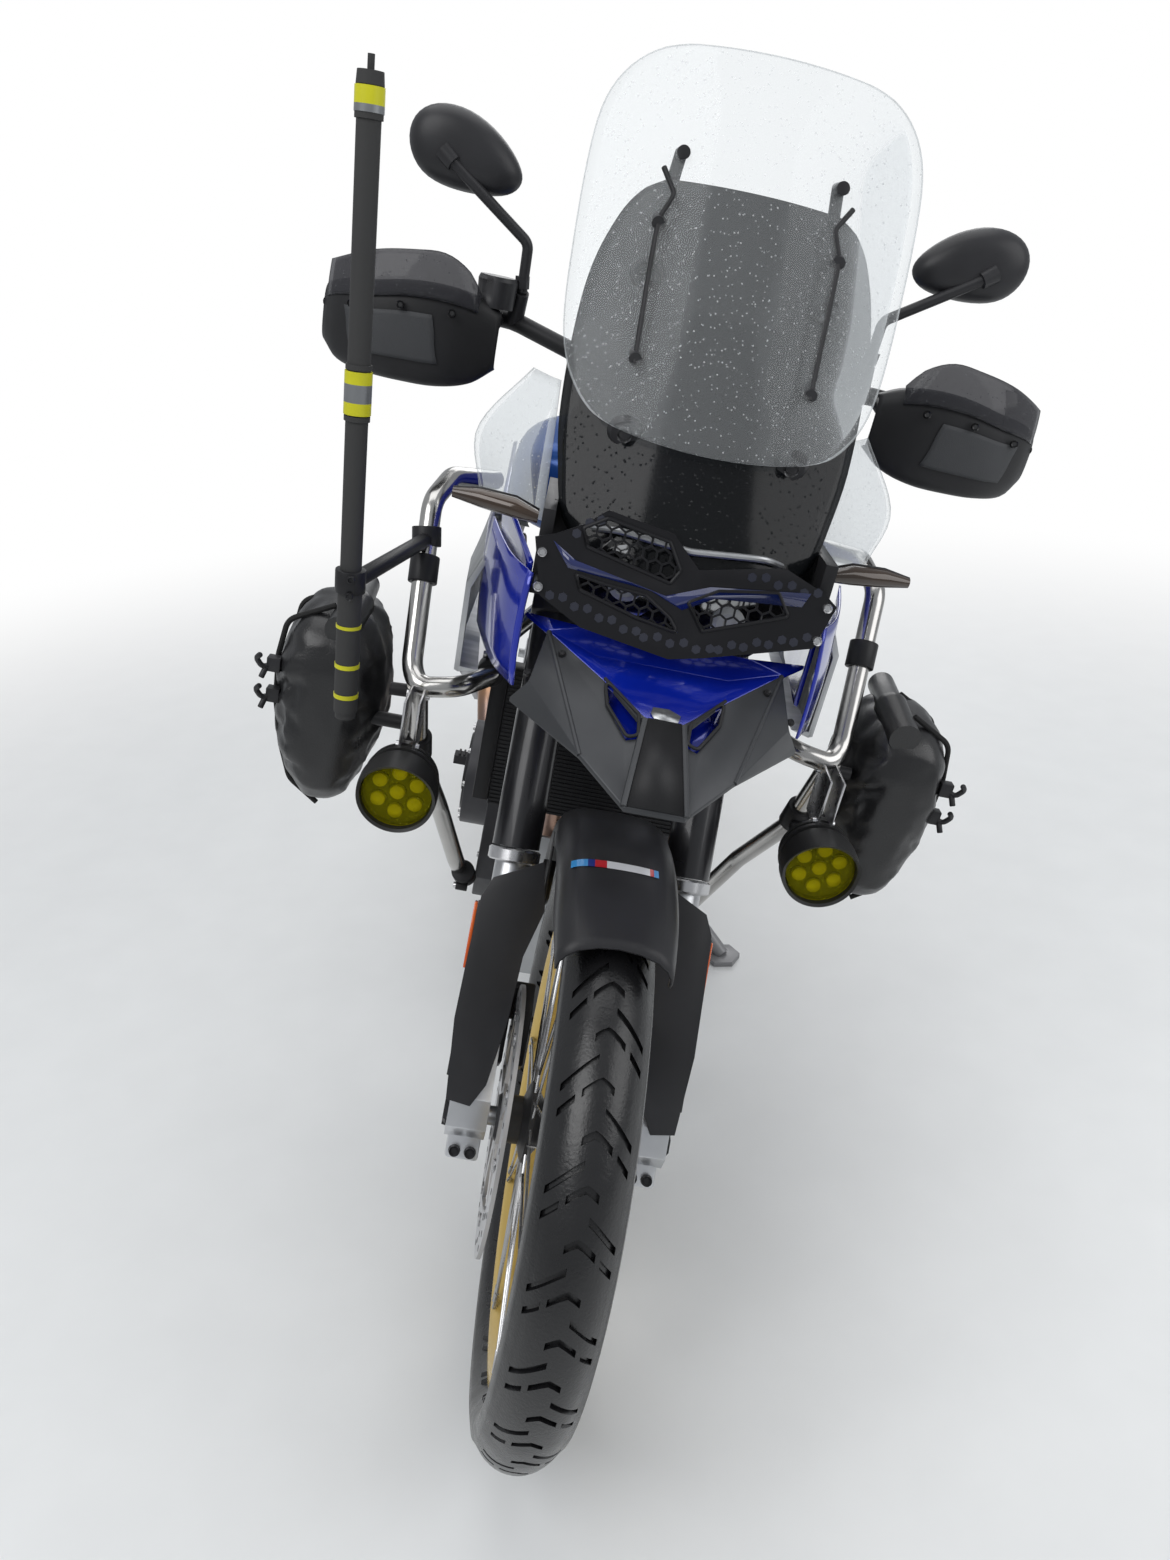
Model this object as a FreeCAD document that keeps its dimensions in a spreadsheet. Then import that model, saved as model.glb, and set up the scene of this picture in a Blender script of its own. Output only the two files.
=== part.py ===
"""Adventure motorcycle parked on its side stand, as an assembly of separate pieces.

The pieces are modelled upright: X points to the rider's left, Y to the rear and Z up,
and the front tyre would touch the ground at the origin. The stance then leans the
whole machine to its left until both tyres and the stand's foot are on the ground, and
moves the origin to the middle of the machine's box, on the ground. Millimetres.
"""
import FreeCAD, Part
import math
import os
from types import SimpleNamespace

import Sketcher
from FreeCAD import Placement, Rotation, Vector

DOCUMENT = FreeCAD.newDocument("adventure_motorcycle")
SHEET = DOCUMENT.addObject("Spreadsheet::Sheet", "sizes")

# Each row: the size's name, its value in millimetres, degrees or copies
SIZES = (
    # whole machine
    ("wheelbase", 1593.0),
    ("head_angle", 62.0),
    ("trail", 104.6),
    ("lean_angle", 13.02),
    ("origin_side", 214.35),
    ("origin_back", 783.5),
    ("seat_gap", 0.3),
    ("running_gap", 5.0),
    # front wheel
    ("front_radius", 347.0),
    ("front_half_width", 46.0),
    ("front_crown", 46.0),
    ("front_section", 80.3),
    ("front_rim_half", 27.3),
    ("front_well_depth", 14.7),
    ("front_hub_radius", 27.0),
    ("front_hub_flange_radius", 46.0),
    ("front_hub_flange_at", 36.0),
    ("front_hub_half_length", 72.0),
    ("front_disc_radius", 152.5),
    ("front_disc_at", 64.0),
    # rear wheel
    ("rear_radius", 321.0),
    ("rear_half_width", 75.0),
    ("rear_crown", 84.0),
    ("rear_section", 105.1),
    ("rear_rim_half", 54.0),
    ("rear_well_depth", 19.9),
    ("rear_hub_radius", 33.0),
    ("rear_hub_flange_radius", 58.0),
    ("rear_hub_flange_at", 44.0),
    ("rear_hub_half_length", 78.0),
    ("rear_disc_radius", 132.5),
    ("rear_disc_at", 72.0),
    ("sprocket_radius", 108.0),
    ("sprocket_at", 92.0),
    ("sprocket_wall", 7.0),
    # what both wheels share
    ("tread_step_angle", 26.0),
    ("rim_flange", 14.0),
    ("rim_wall", 4.0),
    ("hub_flange_wall", 6.0),
    ("disc_wall", 4.5),
    ("disc_band", 36.0),
    ("spoke_width", 4.0),
    ("spoke_groups", 9.0),
    ("spoke_sweep", 34.0),
    # fork
    ("fork_half_span", 104.0),
    ("fork_ahead", 35.0),
    ("outer_tube_radius", 28.5),
    ("slider_radius", 21.5),
    ("outer_tube_foot", 646.0),
    ("outer_tube_top", 1196.0),
    ("seal_ring_radius", 31.0),
    ("seal_ring_height", 16.0),
    ("stem_radius", 15.0),
    ("lower_clamp_at", 944.0),
    ("lower_clamp_height", 38.0),
    ("upper_clamp_at", 1148.0),
    ("upper_clamp_height", 26.0),
    ("clamp_wall", 5.0),
    ("head_tube_radius", 28.0),
    ("lug_width", 46.0),
    ("lug_top", 436.0),
    ("lug_radius", 26.0),
    ("axle_radius", 11.0),
    ("axle_bore_radius", 8.0),
    ("axle_half_length", 130.0),
    ("guard_sheet", 4.0),
    # front fender
    ("fender_gap", 20.0),
    ("fender_half_width", 62.0),
    ("fender_sheet", 3.0),
    ("fender_sweep", 88.0),
    ("fender_behind_angle", 22.0),
    ("fender_skirt", 50.0),
    # handlebar
    ("bar_radius", 11.0),
    ("grip_radius", 17.0),
    ("bar_ahead", 10.0),
    ("bar_up", 1260.0),
    ("riser_at", 48.0),
    ("riser_radius", 17.0),
    # frame and running gear
    ("pivot_back", 1003.0),
    ("pivot_height", 402.0),
    ("pivot_radius", 14.0),
    ("arm_inner", 106.0),
    ("arm_wall", 30.0),
    ("spar_at", 58.0),
    ("spar_wall", 26.0),
    ("rear_axle_radius", 11.0),
    ("tube_radius", 11.0),
    ("crash_tube_radius", 12.5),
    ("chain_width", 18.0),
    ("chain_depth", 14.0),
    ("front_sprocket_radius", 38.0),
    ("front_sprocket_back", 905.0),
    ("front_sprocket_height", 408.0),
    ("header_radius", 19.0),
    # engine
    ("case_half_width", 150.0),
    ("cylinder_half_width", 122.0),
    ("clutch_cover_radius", 92.0),
    ("clutch_cover_depth", 46.0),
    ("generator_cover_radius", 74.0),
    ("generator_cover_depth", 34.0),
    # lamps on the crash bars
    ("lamp_radius", 46.0),
    ("lamp_depth", 62.0),
    ("lamp_at_side", 249.0),
    ("lamp_at_back", 145.0),
    ("lamp_at_height", 661.0),
    # side stand
    ("stand_leg_radius", 13.0),
    ("stand_pivot_side", 150.0),
    ("stand_pivot_back", 915.0),
    ("stand_pivot_height", 236.0),
    ("stand_pin_radius", 9.0),
    ("stand_eye_radius", 17.0),
    ("stand_eye_half", 14.0),
    ("foot_side", 353.0),
    ("foot_back", 796.0),
    ("foot_radius", 34.0),
    ("foot_wall", 10.0),
    # camera pole
    ("pole_radius", 11.0),
    ("pole_stud_radius", 3.175),
    ("pole_stud_length", 12.0),
    # screens and panels
    ("screen_sheet", 4.0),
    ("panel_sheet", 5.0),
    ("guard_plate", 4.0),
    ("mesh_sheet", 1.5),
    ("mesh_pitch", 13.0),
    ("mesh_web", 2.0),
    ("arm_outer", 142.0),
    ("arm_front", 60.0),
    ("bracket_back", 204.0),
    ("bag_left_at", 345.0),
    ("bag_right_at", 362.0),
)

# Sections of the bodies that are lofted from front to back. Columns of each row:
# the row's name, back, low, half_low, middle, half_middle, high, half_high
SECTIONS = {
    "tank": (
        ("nose", 500.0, 925.0, 45.0, 960.0, 75.0, 1010.0, 45.0),
        ("front", 560.0, 872.0, 150.0, 930.0, 190.0, 1035.0, 100.0),
        ("middle", 660.0, 864.0, 165.0, 930.0, 200.0, 1060.0, 95.0),
        ("rear", 770.0, 855.0, 140.0, 900.0, 165.0, 990.0, 80.0),
        ("tail", 880.0, 790.0, 80.0, 840.0, 118.0, 900.0, 60.0),
    ),
    "rider_seat": (
        ("nose", 880.3, 850.0, 60.0, 872.0, 78.0, 890.0, 55.0),
        ("middle", 1000.0, 833.3, 105.0, 858.0, 135.0, 880.0, 105.0),
        ("rear", 1185.0, 833.3, 120.0, 872.0, 152.0, 908.0, 118.0),
    ),
    "pillion_seat": (
        ("front", 1200.0, 833.3, 118.0, 895.0, 150.0, 940.0, 115.0),
        ("rear", 1490.0, 870.0, 85.0, 918.0, 118.0, 958.0, 90.0),
    ),
    "tail": (
        ("front", 1290.0, 768.0, 50.0, 795.0, 70.0, 818.1, 60.0),
        ("rear", 1600.0, 790.0, 35.0, 805.0, 50.0, 818.1, 45.0),
    ),
    "lamp_unit": (
        ("lens", 66.0, 905.0, 60.0, 960.0, 118.0, 1014.0, 74.0),
        ("middle", 120.0, 905.0, 72.0, 960.0, 124.0, 1035.0, 92.0),
        ("rear", 190.0, 915.0, 55.0, 965.0, 92.0, 1040.0, 70.0),
    ),
    "side_bag": (
        ("front", 235.0, 560.0, 40.0, 690.0, 68.0, 815.0, 45.0),
        ("rear", 400.0, 540.0, 45.0, 690.0, 74.0, 830.0, 50.0),
    ),
}


class Size:
    """A number that also knows its spreadsheet expression."""

    def __init__(self, number, text):
        self.number = number
        self.text = text

    def __add__(self, other):
        return Size(self.number + number(other), f"({self.text} + {text(other)})")

    def __radd__(self, other):
        return Size(number(other) + self.number, f"({text(other)} + {self.text})")

    def __sub__(self, other):
        return Size(self.number - number(other), f"({self.text} - {text(other)})")

    def __rsub__(self, other):
        return Size(number(other) - self.number, f"({text(other)} - {self.text})")

    def __mul__(self, other):
        return Size(self.number * number(other), f"({self.text} * {text(other)})")

    def __rmul__(self, other):
        return Size(number(other) * self.number, f"({text(other)} * {self.text})")

    def __truediv__(self, other):
        return Size(self.number / number(other), f"({self.text} / {text(other)})")

    def __neg__(self):
        return Size(-self.number, f"(-1 * {self.text})")

    def __float__(self):
        return float(self.number)


def number(value):
    """The plain number of a size, or of a number."""
    return value.number if isinstance(value, Size) else float(value)


def text(value):
    """The spreadsheet expression of a size, or of a number."""
    if isinstance(value, Size):
        return value.text
    return f"({value:.6f})" if value < 0 else f"{value:.6f}"


def sine(angle):
    """The sine of an angle size in degrees."""
    return Size(math.sin(math.radians(number(angle))), f"sin({text(angle)} * 1 deg)")


def cosine(angle):
    """The cosine of an angle size in degrees."""
    return Size(math.cos(math.radians(number(angle))), f"cos({text(angle)} * 1 deg)")


def fill_sheet():
    """Write every size and every section's cells to the sheet, and return them by name."""
    cells = list(SIZES)
    columns = ("back", "low", "half_low", "middle", "half_middle", "high", "half_high")
    for part, rows in SECTIONS.items():
        for row in rows:
            cells += [(f"{part}_{row[0]}_{column}", value) for column, value in zip(columns, row[1:])]
    sizes = {}
    for line, (name, value) in enumerate(cells, start=1):
        SHEET.set(f"A{line}", name)
        SHEET.set(f"B{line}", str(value))
        SHEET.setAlias(f"B{line}", name)
        sizes[name] = Size(value, f"{SHEET.Name}.{name}")
    DOCUMENT.recompute()
    return sizes


CELLS = fill_sheet()
S = SimpleNamespace(**CELLS)


def section_rows(part):
    """The named section sizes of a lofted body, front to back."""
    columns = ("back", "low", "half_low", "middle", "half_middle", "high", "half_high")
    for row in SECTIONS[part]:
        yield SimpleNamespace(**{column: CELLS[f"{part}_{row[0]}_{column}"] for column in columns})


def tread_corners(name):
    """The corners (across, radius) of a tyre's tread, from its left shoulder to its right."""
    crown = CELLS[f"{name}_crown"]
    base = CELLS[f"{name}_radius"] - crown
    turns = [S.tread_step_angle * steps for steps in (1, 0, -1)]
    return [(crown * sine(turn), base + crown * cosine(turn)) for turn in turns]


def ground_reach(name, lean):
    """How far below its axle a leaning tyre reaches."""
    return max(number(radius) * math.cos(lean) + number(across) * math.sin(lean)
               for across, radius in tread_corners(name))


def stance():
    """The lean, the small pitch and the shift that put both tyres on the ground."""
    lean = math.radians(number(S.lean_angle))
    front, rear = ground_reach("front", lean), ground_reach("rear", lean)
    fall = number(S.rear_radius) - number(S.front_radius)
    span = math.hypot(number(S.wheelbase), fall)
    pitch = math.asin((rear - front) / math.cos(lean) / span) - math.atan2(fall, number(S.wheelbase))
    lowest = number(S.front_radius) * math.cos(pitch) * math.cos(lean) - front
    turn = Rotation(Vector(0, 1, 0), math.degrees(lean)) * Rotation(Vector(1, 0, 0), math.degrees(pitch))
    return Placement(Vector(-number(S.origin_side), -number(S.origin_back), -lowest), turn)


STANCE = stance()
RAKE = 90.0 - number(S.head_angle)
STEERING = Placement(Vector(0, -number(S.trail), 0), Rotation(Vector(1, 0, 0), -RAKE))
FORK = STANCE * STEERING
BAR_FRAME = FORK * Placement(Vector(0, -number(S.bar_ahead), number(S.bar_up)), Rotation(Vector(1, 0, 0), RAKE))
FRONT_AXLE = STANCE * Placement(Vector(0, 0, number(S.front_radius)), Rotation())
REAR_AXLE = STANCE * Placement(Vector(0, number(S.wheelbase), number(S.rear_radius)), Rotation())
NODES = []

# The way a plane's own normal points along the axis that it leaves out
NORMAL_SIGN = {"XY_Plane": 1, "XZ_Plane": -1, "YZ_Plane": 1}


def node(name, item, place=STANCE):
    """Name a finished piece, stand it in the stance and keep it for the export."""
    item.Label = name
    item.Placement = place
    NODES.append(item)
    return item


def body(name):
    """A new part-design body."""
    return DOCUMENT.addObject("PartDesign::Body", name)


def sketch_on(owner, name, plane, shift):
    """An empty sketch on one of the body's own planes, shifted along that plane's axis."""
    sketch = owner.newObject("Sketcher::SketchObject", name)
    base = [feature for feature in owner.Origin.OriginFeatures if feature.Role == plane][0]
    sketch.AttachmentSupport = [(base, "")]
    sketch.MapMode = "FlatFace"
    sketch.setExpression("AttachmentOffset.Base.z", text(NORMAL_SIGN[plane] * shift))
    return sketch


def add_loop(sketch, corners):
    """Close a loop of straight edges through corners (x, y) that follow the sheet."""
    count = len(corners)
    spots = [Vector(number(corner[0]), number(corner[1]), 0) for corner in corners]
    first = sketch.GeometryCount
    sketch.addGeometry([Part.LineSegment(spots[place], spots[(place + 1) % count]) for place in range(count)], False)
    rules = []
    bound = []
    for place, corner in enumerate(corners):
        rules.append(Sketcher.Constraint("Coincident", first + (place - 1) % count, 2, first + place, 1))
        for kind, value in zip(("DistanceX", "DistanceY"), corner):
            bound.append((sketch.ConstraintCount + len(rules), value))
            rules.append(Sketcher.Constraint(kind, -1, 1, first + place, 1, number(value)))
    sketch.addConstraint(rules)
    for index, value in bound:
        if isinstance(value, Size):
            sketch.setExpression(f"Constraints[{index}]", value.text)


def add_circle(sketch, across, up, radius):
    """Add a circle whose place and radius follow the sheet."""
    centre = Vector(number(across), number(up), 0)
    place = sketch.addGeometry(Part.Circle(centre, Vector(0, 0, 1), number(radius)), False)
    rules = (("DistanceX", across), ("DistanceY", up), ("Radius", radius))
    for kind, value in rules:
        ends = (place,) if kind == "Radius" else (-1, 1, place, 3)
        index = sketch.addConstraint(Sketcher.Constraint(kind, *ends, number(value)))
        if isinstance(value, Size):
            sketch.setExpression(f"Constraints[{index}]", value.text)


def pad(owner, name, plane, loops, low, high, circles=()):
    """Fill a sketch's loops from low to high along the axis that the plane leaves out."""
    sketch = sketch_on(owner, f"{name}_sketch", plane, low if NORMAL_SIGN[plane] > 0 else high)
    for corners in loops:
        add_loop(sketch, corners)
    for circle in circles:
        add_circle(sketch, *circle)
    feature = owner.newObject("PartDesign::Pad", name)
    feature.Profile = sketch
    feature.setExpression("Length", text(high - low))
    sketch.Visibility = False
    return feature


def cut(owner, name, plane, loops, low, high, circles=()):
    """Remove a sketch's loops from low to high along the axis that the plane leaves out."""
    sketch = sketch_on(owner, f"{name}_sketch", plane, high if NORMAL_SIGN[plane] > 0 else low)
    for corners in loops:
        add_loop(sketch, corners)
    for circle in circles:
        add_circle(sketch, *circle)
    feature = owner.newObject("PartDesign::Pocket", name)
    feature.Profile = sketch
    feature.setExpression("Length", text(high - low))
    return feature


def turned(owner, name, corners, angle=360):
    """Turn a profile (across, radius) about the body's X axis."""
    sketch = sketch_on(owner, f"{name}_sketch", "XZ_Plane", 0)
    add_loop(sketch, corners)
    feature = owner.newObject("PartDesign::Revolution", name)
    feature.Profile = sketch
    feature.ReferenceAxis = (sketch, ["H_Axis"])
    feature.setExpression("Angle", text(angle))
    if number(angle) < 360:
        feature.Midplane = True
    return feature


def loft(owner, name, plane, sections, ruled=True):
    """Join sections, each (station, corners), along the axis that the plane leaves out."""
    sketches = []
    for place, (station, corners) in enumerate(sections):
        sketch = sketch_on(owner, f"{name}_sketch_{place}", plane, station)
        add_loop(sketch, corners)
        sketches.append(sketch)
    feature = owner.newObject("PartDesign::AdditiveLoft", name)
    feature.Profile = sketches[0]
    feature.Sections = sketches[1:]
    feature.Ruled = ruled
    return feature


def six_sided(row, across=0.0):
    """The corners of a body's cross-section that is widest at its middle."""
    return (
        (across - row.half_low, row.low),
        (across + row.half_low, row.low),
        (across + row.half_middle, row.middle),
        (across + row.half_high, row.high),
        (across - row.half_high, row.high),
        (across - row.half_middle, row.middle),
    )


def sectioned(name, part, ruled=True):
    """A body lofted through the sections of one table."""
    owner = body(name)
    loft(owner, f"{name}_form", "XZ_Plane", [(row.back, six_sided(row)) for row in section_rows(part)], ruled)
    return owner


def joined(name, *pieces):
    """Fuse pieces into one solid."""
    fuse = DOCUMENT.addObject("Part::MultiFuse", name)
    fuse.Shapes = list(pieces)
    return fuse


def grouped(name, *pieces):
    """Keep pieces that don't touch together in one sub-part."""
    group = DOCUMENT.addObject("Part::Compound", name)
    group.Links = list(pieces)
    return group


def mirrored(piece):
    """The same piece on the other side of the machine."""
    twin = DOCUMENT.addObject("Part::Mirroring", f"{piece.Name}_twin")
    twin.Source = piece
    twin.Normal = Vector(1, 0, 0)
    return twin


def pair(name, piece):
    """A left piece and its mirror image, which don't touch."""
    return grouped(name, piece, mirrored(piece))


def shaped(name, shape):
    """A feature whose shape is set directly."""
    feature = DOCUMENT.addObject("Part::Feature", name)
    feature.Shape = shape
    return feature


def place_at(item, across, back, up):
    """Tie an item's place to the sheet."""
    item.setExpression("Placement.Base.x", text(across))
    item.setExpression("Placement.Base.y", text(back))
    item.setExpression("Placement.Base.z", text(up))


# Turns that lay a cylinder's axis, which starts upright, along another axis
ALONG = {
    "X": Rotation(Vector(0, 1, 0), 90),
    "Y": Rotation(Vector(1, 0, 0), -90),
    "Z": Rotation(),
    "FORWARD": Rotation(Vector(1, 0, 0), 90),
}


def rod(name, radius, length, start, along="Z"):
    """A cylinder from start along one axis."""
    item = DOCUMENT.addObject("Part::Cylinder", name)
    item.setExpression("Radius", text(radius))
    item.setExpression("Height", text(length))
    item.Placement = Placement(Vector(), ALONG[along])
    place_at(item, *start)
    return item


def block(name, across, back, up):
    """A box between two values on each axis."""
    item = DOCUMENT.addObject("Part::Box", name)
    item.setExpression("Length", text(across[1] - across[0]))
    item.setExpression("Width", text(back[1] - back[0]))
    item.setExpression("Height", text(up[1] - up[0]))
    place_at(item, across[0], back[0], up[0])
    return item


def cut_out(name, base, *tools):
    """Remove the tools from the base, one after the other."""
    for place, tool in enumerate(tools):
        result = DOCUMENT.addObject("Part::Cut", f"{name}_{place}")
        result.Base = base
        result.Tool = tool
        base = result
    return base


def points(*rows):
    """Vectors from rows of sizes or numbers (across, back, up)."""
    return [Vector(*(number(value) for value in row)) for row in rows]


def tube(route, radius):
    """A round tube through the points of a route, mitred where it turns."""
    wire = Part.makePolygon(route)
    ring = Part.Wire([Part.makeCircle(number(radius), route[0], route[1] - route[0])])
    if len(route) == 2:
        return Part.Face(ring).extrude(route[1] - route[0])
    return wire.makePipeShell([ring], True, True, 1)


def tube_set(name, radius, *routes):
    """Tubes fused into one solid."""
    shapes = [tube(points(*route), radius) for route in routes]
    shape = shapes[0].fuse(shapes[1:]) if len(shapes) > 1 else shapes[0]
    return shaped(name, shape.removeSplitter())


def both_sides(route):
    """A route and its mirror image."""
    return route, tuple((-row[0], row[1], row[2]) for row in route)


def seated(shape, *others):
    """A shape without what others fill, so that it meets them face to face."""
    return shape.cut(list(others))


def largest(shape):
    """The largest solid of a shape."""
    return max(shape.Solids, key=lambda solid: solid.Volume)


def sheet_of(corners, faces, shift):
    """A folded sheet whose flat faces share corners, as thick as the shift."""
    spots = points(*corners)
    folds = []
    for face in faces:
        ring = [spots[corner] for corner in face]
        folds.append(Part.Face(Part.makePolygon(ring + ring[:1])).extrude(Vector(*shift)))
    return folds[0].fuse(folds[1:]).removeSplitter()


# Wheels

WHEELS = (
    # name, the place of its axle, its rotating body's sizes start with the name
    ("front", FRONT_AXLE),
    ("rear", REAR_AXLE),
)


def tyre(name, place):
    """A road tyre: straight sides down past the rim's flanges to its beads, and a crown of flat bands."""
    size = {key[len(name) + 1:]: value for key, value in CELLS.items() if key.startswith(name + "_")}
    seat = size["radius"] - size["section"] + S.seat_gap
    flange = size["rim_half"] - S.seat_gap
    widest = size["radius"] - size["half_width"] * 0.92
    slope = (size["half_width"] - flange) / (widest - seat - S.rim_flange)
    bead = flange - slope * S.rim_flange
    corners = [(-bead, seat), (bead, seat), (size["half_width"], widest)]
    corners += tread_corners(name)
    corners += [(-size["half_width"], widest)]
    owner = body(f"{name}_tyre_body")
    turned(owner, f"{name}_tyre_form", corners)
    node(f"{name}_tyre", owner, place)


def rim(name, place):
    """A deep spoked rim whose flanges stand outside the tyre's beads."""
    half = CELLS[f"{name}_rim_half"]
    bead = CELLS[f"{name}_radius"] - CELLS[f"{name}_section"]
    well = bead - CELLS[f"{name}_well_depth"]
    inside = half * 0.35
    corners = (
        (-half - S.rim_wall, bead - S.rim_wall),
        (-inside, well - S.rim_wall),
        (inside, well - S.rim_wall),
        (half + S.rim_wall, bead - S.rim_wall),
        (half + S.rim_wall, bead + S.rim_flange),
        (half, bead + S.rim_flange),
        (half, bead),
        (inside, well),
        (-inside, well),
        (-half, bead),
        (-half, bead + S.rim_flange),
        (-half - S.rim_wall, bead + S.rim_flange),
    )
    owner = body(f"{name}_rim_body")
    turned(owner, f"{name}_rim_form", corners)
    node(f"{name}_rim", owner, place)


def hub_with_spokes(name, place, bore):
    """A hub with two flanges and crossed square spokes that reach to the rim's edges."""
    radius = CELLS[f"{name}_hub_radius"]
    flange = CELLS[f"{name}_hub_flange_radius"]
    flange_at = CELLS[f"{name}_hub_flange_at"]
    half = CELLS[f"{name}_hub_half_length"]
    wall = S.hub_flange_wall
    corners = (
        (-half, bore),
        (half, bore),
        (half, radius),
        (flange_at + wall, radius),
        (flange_at, flange),
        (flange_at - wall, flange),
        (flange_at - 2 * wall, radius),
        (2 * wall - flange_at, radius),
        (wall - flange_at, flange),
        (-flange_at, flange),
        (-flange_at - wall, radius),
        (-half, radius),
    )
    owner = body(f"{name}_hub_body")
    turned(owner, f"{name}_hub_form", corners)
    DOCUMENT.recompute()
    width = number(S.spoke_width)
    outer = number(CELLS[f"{name}_rim_half"])
    reach = rim_inside(name, outer - width)
    groups = round(number(S.spoke_groups))
    spokes = []
    for side in (-1, 1):
        for group in range(groups):
            for lean in (-1, 1):
                angle = 360.0 / groups * (group + 0.25 * side + 0.12 * lean)
                inner = (number(flange_at) - number(wall) / 2.0) * side
                foot = polar(inner, number(flange) - number(wall), angle)
                head = polar(outer * side, reach, angle + lean * number(S.spoke_sweep))
                for _ in range(3):
                    ends = prism_corners(head, head - foot, width)
                    slack = min(rim_inside(name, abs(end.x)) - math.hypot(end.y, end.z) for end in ends)
                    head += (head - foot).normalize() * (slack - number(S.seat_gap))
                spokes.append(prism(foot, head, width))
    shape = owner.Shape.fuse(spokes)
    node(f"{name}_hub_and_spokes", shaped(f"{name}_hub_and_spokes_form", shape), place)


def rim_inside(name, across):
    """The rim's inner radius at a distance across from its middle."""
    edge = number(CELLS[f"{name}_rim_half"] + S.rim_wall)
    inside = number(CELLS[f"{name}_rim_half"]) * 0.35
    share = (edge - across) / (edge - inside)
    bead = number(CELLS[f"{name}_radius"] - CELLS[f"{name}_section"])
    return bead - number(S.rim_wall) - share * number(CELLS[f"{name}_well_depth"])


def polar(across, radius, angle):
    """A point about a wheel's axle."""
    turn = math.radians(angle)
    return Vector(across, radius * math.sin(turn), radius * math.cos(turn))


def prism_corners(spot, way, width):
    """The corners of a square bar's end."""
    side = way.cross(Vector(1, 0, 0)).normalize() * (width / 2.0)
    up = way.cross(side).normalize() * (width / 2.0)
    return [spot + side + up, spot - side + up, spot - side - up, spot + side - up]


def prism(start, end, width):
    """A square bar from start to end."""
    corners = prism_corners(start, end - start, width)
    return Part.Face(Part.makePolygon(corners + corners[:1])).extrude(end - start)


def discs():
    """Both front discs, the rear disc on the right and the sprocket on the left."""
    left = carrier_disc("front_disc", S.front_disc_radius, S.front_disc_at, S.front_hub_radius)
    node("front_discs", pair("front_disc_pair", left), FRONT_AXLE)
    rear = carrier_disc("rear_disc", S.rear_disc_radius, -S.rear_disc_at - S.disc_wall, S.rear_hub_radius)
    node("rear_brake_disc", rear, REAR_AXLE)
    bore = S.rear_axle_radius + S.running_gap
    sprocket = body("sprocket_body")
    pad(sprocket, "sprocket_plate", "YZ_Plane", (), S.sprocket_at, S.sprocket_at + S.sprocket_wall,
        ((0, 0, S.sprocket_radius), (0, 0, bore)))
    pad(sprocket, "sprocket_carrier", "YZ_Plane", (), S.rear_hub_half_length, S.sprocket_at,
        ((0, 0, S.rear_hub_flange_radius), (0, 0, bore)))
    node("rear_sprocket", sprocket, REAR_AXLE)


def carrier_disc(name, radius, face, hub):
    """A ring with a five-armed carrier, between face and face plus the disc's wall."""
    owner = body(f"{name}_body")
    ring_inner = radius - S.disc_band
    bore = hub + S.seat_gap
    boss = hub * 1.5
    pad(owner, f"{name}_ring", "YZ_Plane", (), face, face + S.disc_wall, ((0, 0, radius), (0, 0, bore)))
    sweep = 2 * math.pi / 5
    inner, outer = number(boss), number(ring_inner)
    for place in range(5):
        middle = sweep * place
        half_inner, half_outer = 0.36, 0.52
        corners = [(math.sin(middle + turn) * reach, math.cos(middle + turn) * reach)
                   for reach, turn in ((inner, -half_inner), (outer, -half_outer), (outer, half_outer),
                                       (inner, half_inner))]
        scaled = [(boss * (x / inner), boss * (y / inner)) if math.hypot(x, y) < inner + 1
                  else (ring_inner * (x / outer), ring_inner * (y / outer)) for x, y in corners]
        cut(owner, f"{name}_window_{place}", "YZ_Plane", (scaled,), face, face + S.disc_wall)
    return owner


def wheels():
    """The two wheels, without what carries them."""
    for name, place in WHEELS:
        tyre(name, place)
        rim(name, place)
    hub_with_spokes("front", FRONT_AXLE, S.axle_radius + S.seat_gap)
    hub_with_spokes("rear", REAR_AXLE, S.rear_axle_radius + S.seat_gap)
    discs()


# Fork and what turns with it, in the fork's own frame: Z along the steering axis, Y backwards

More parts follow.
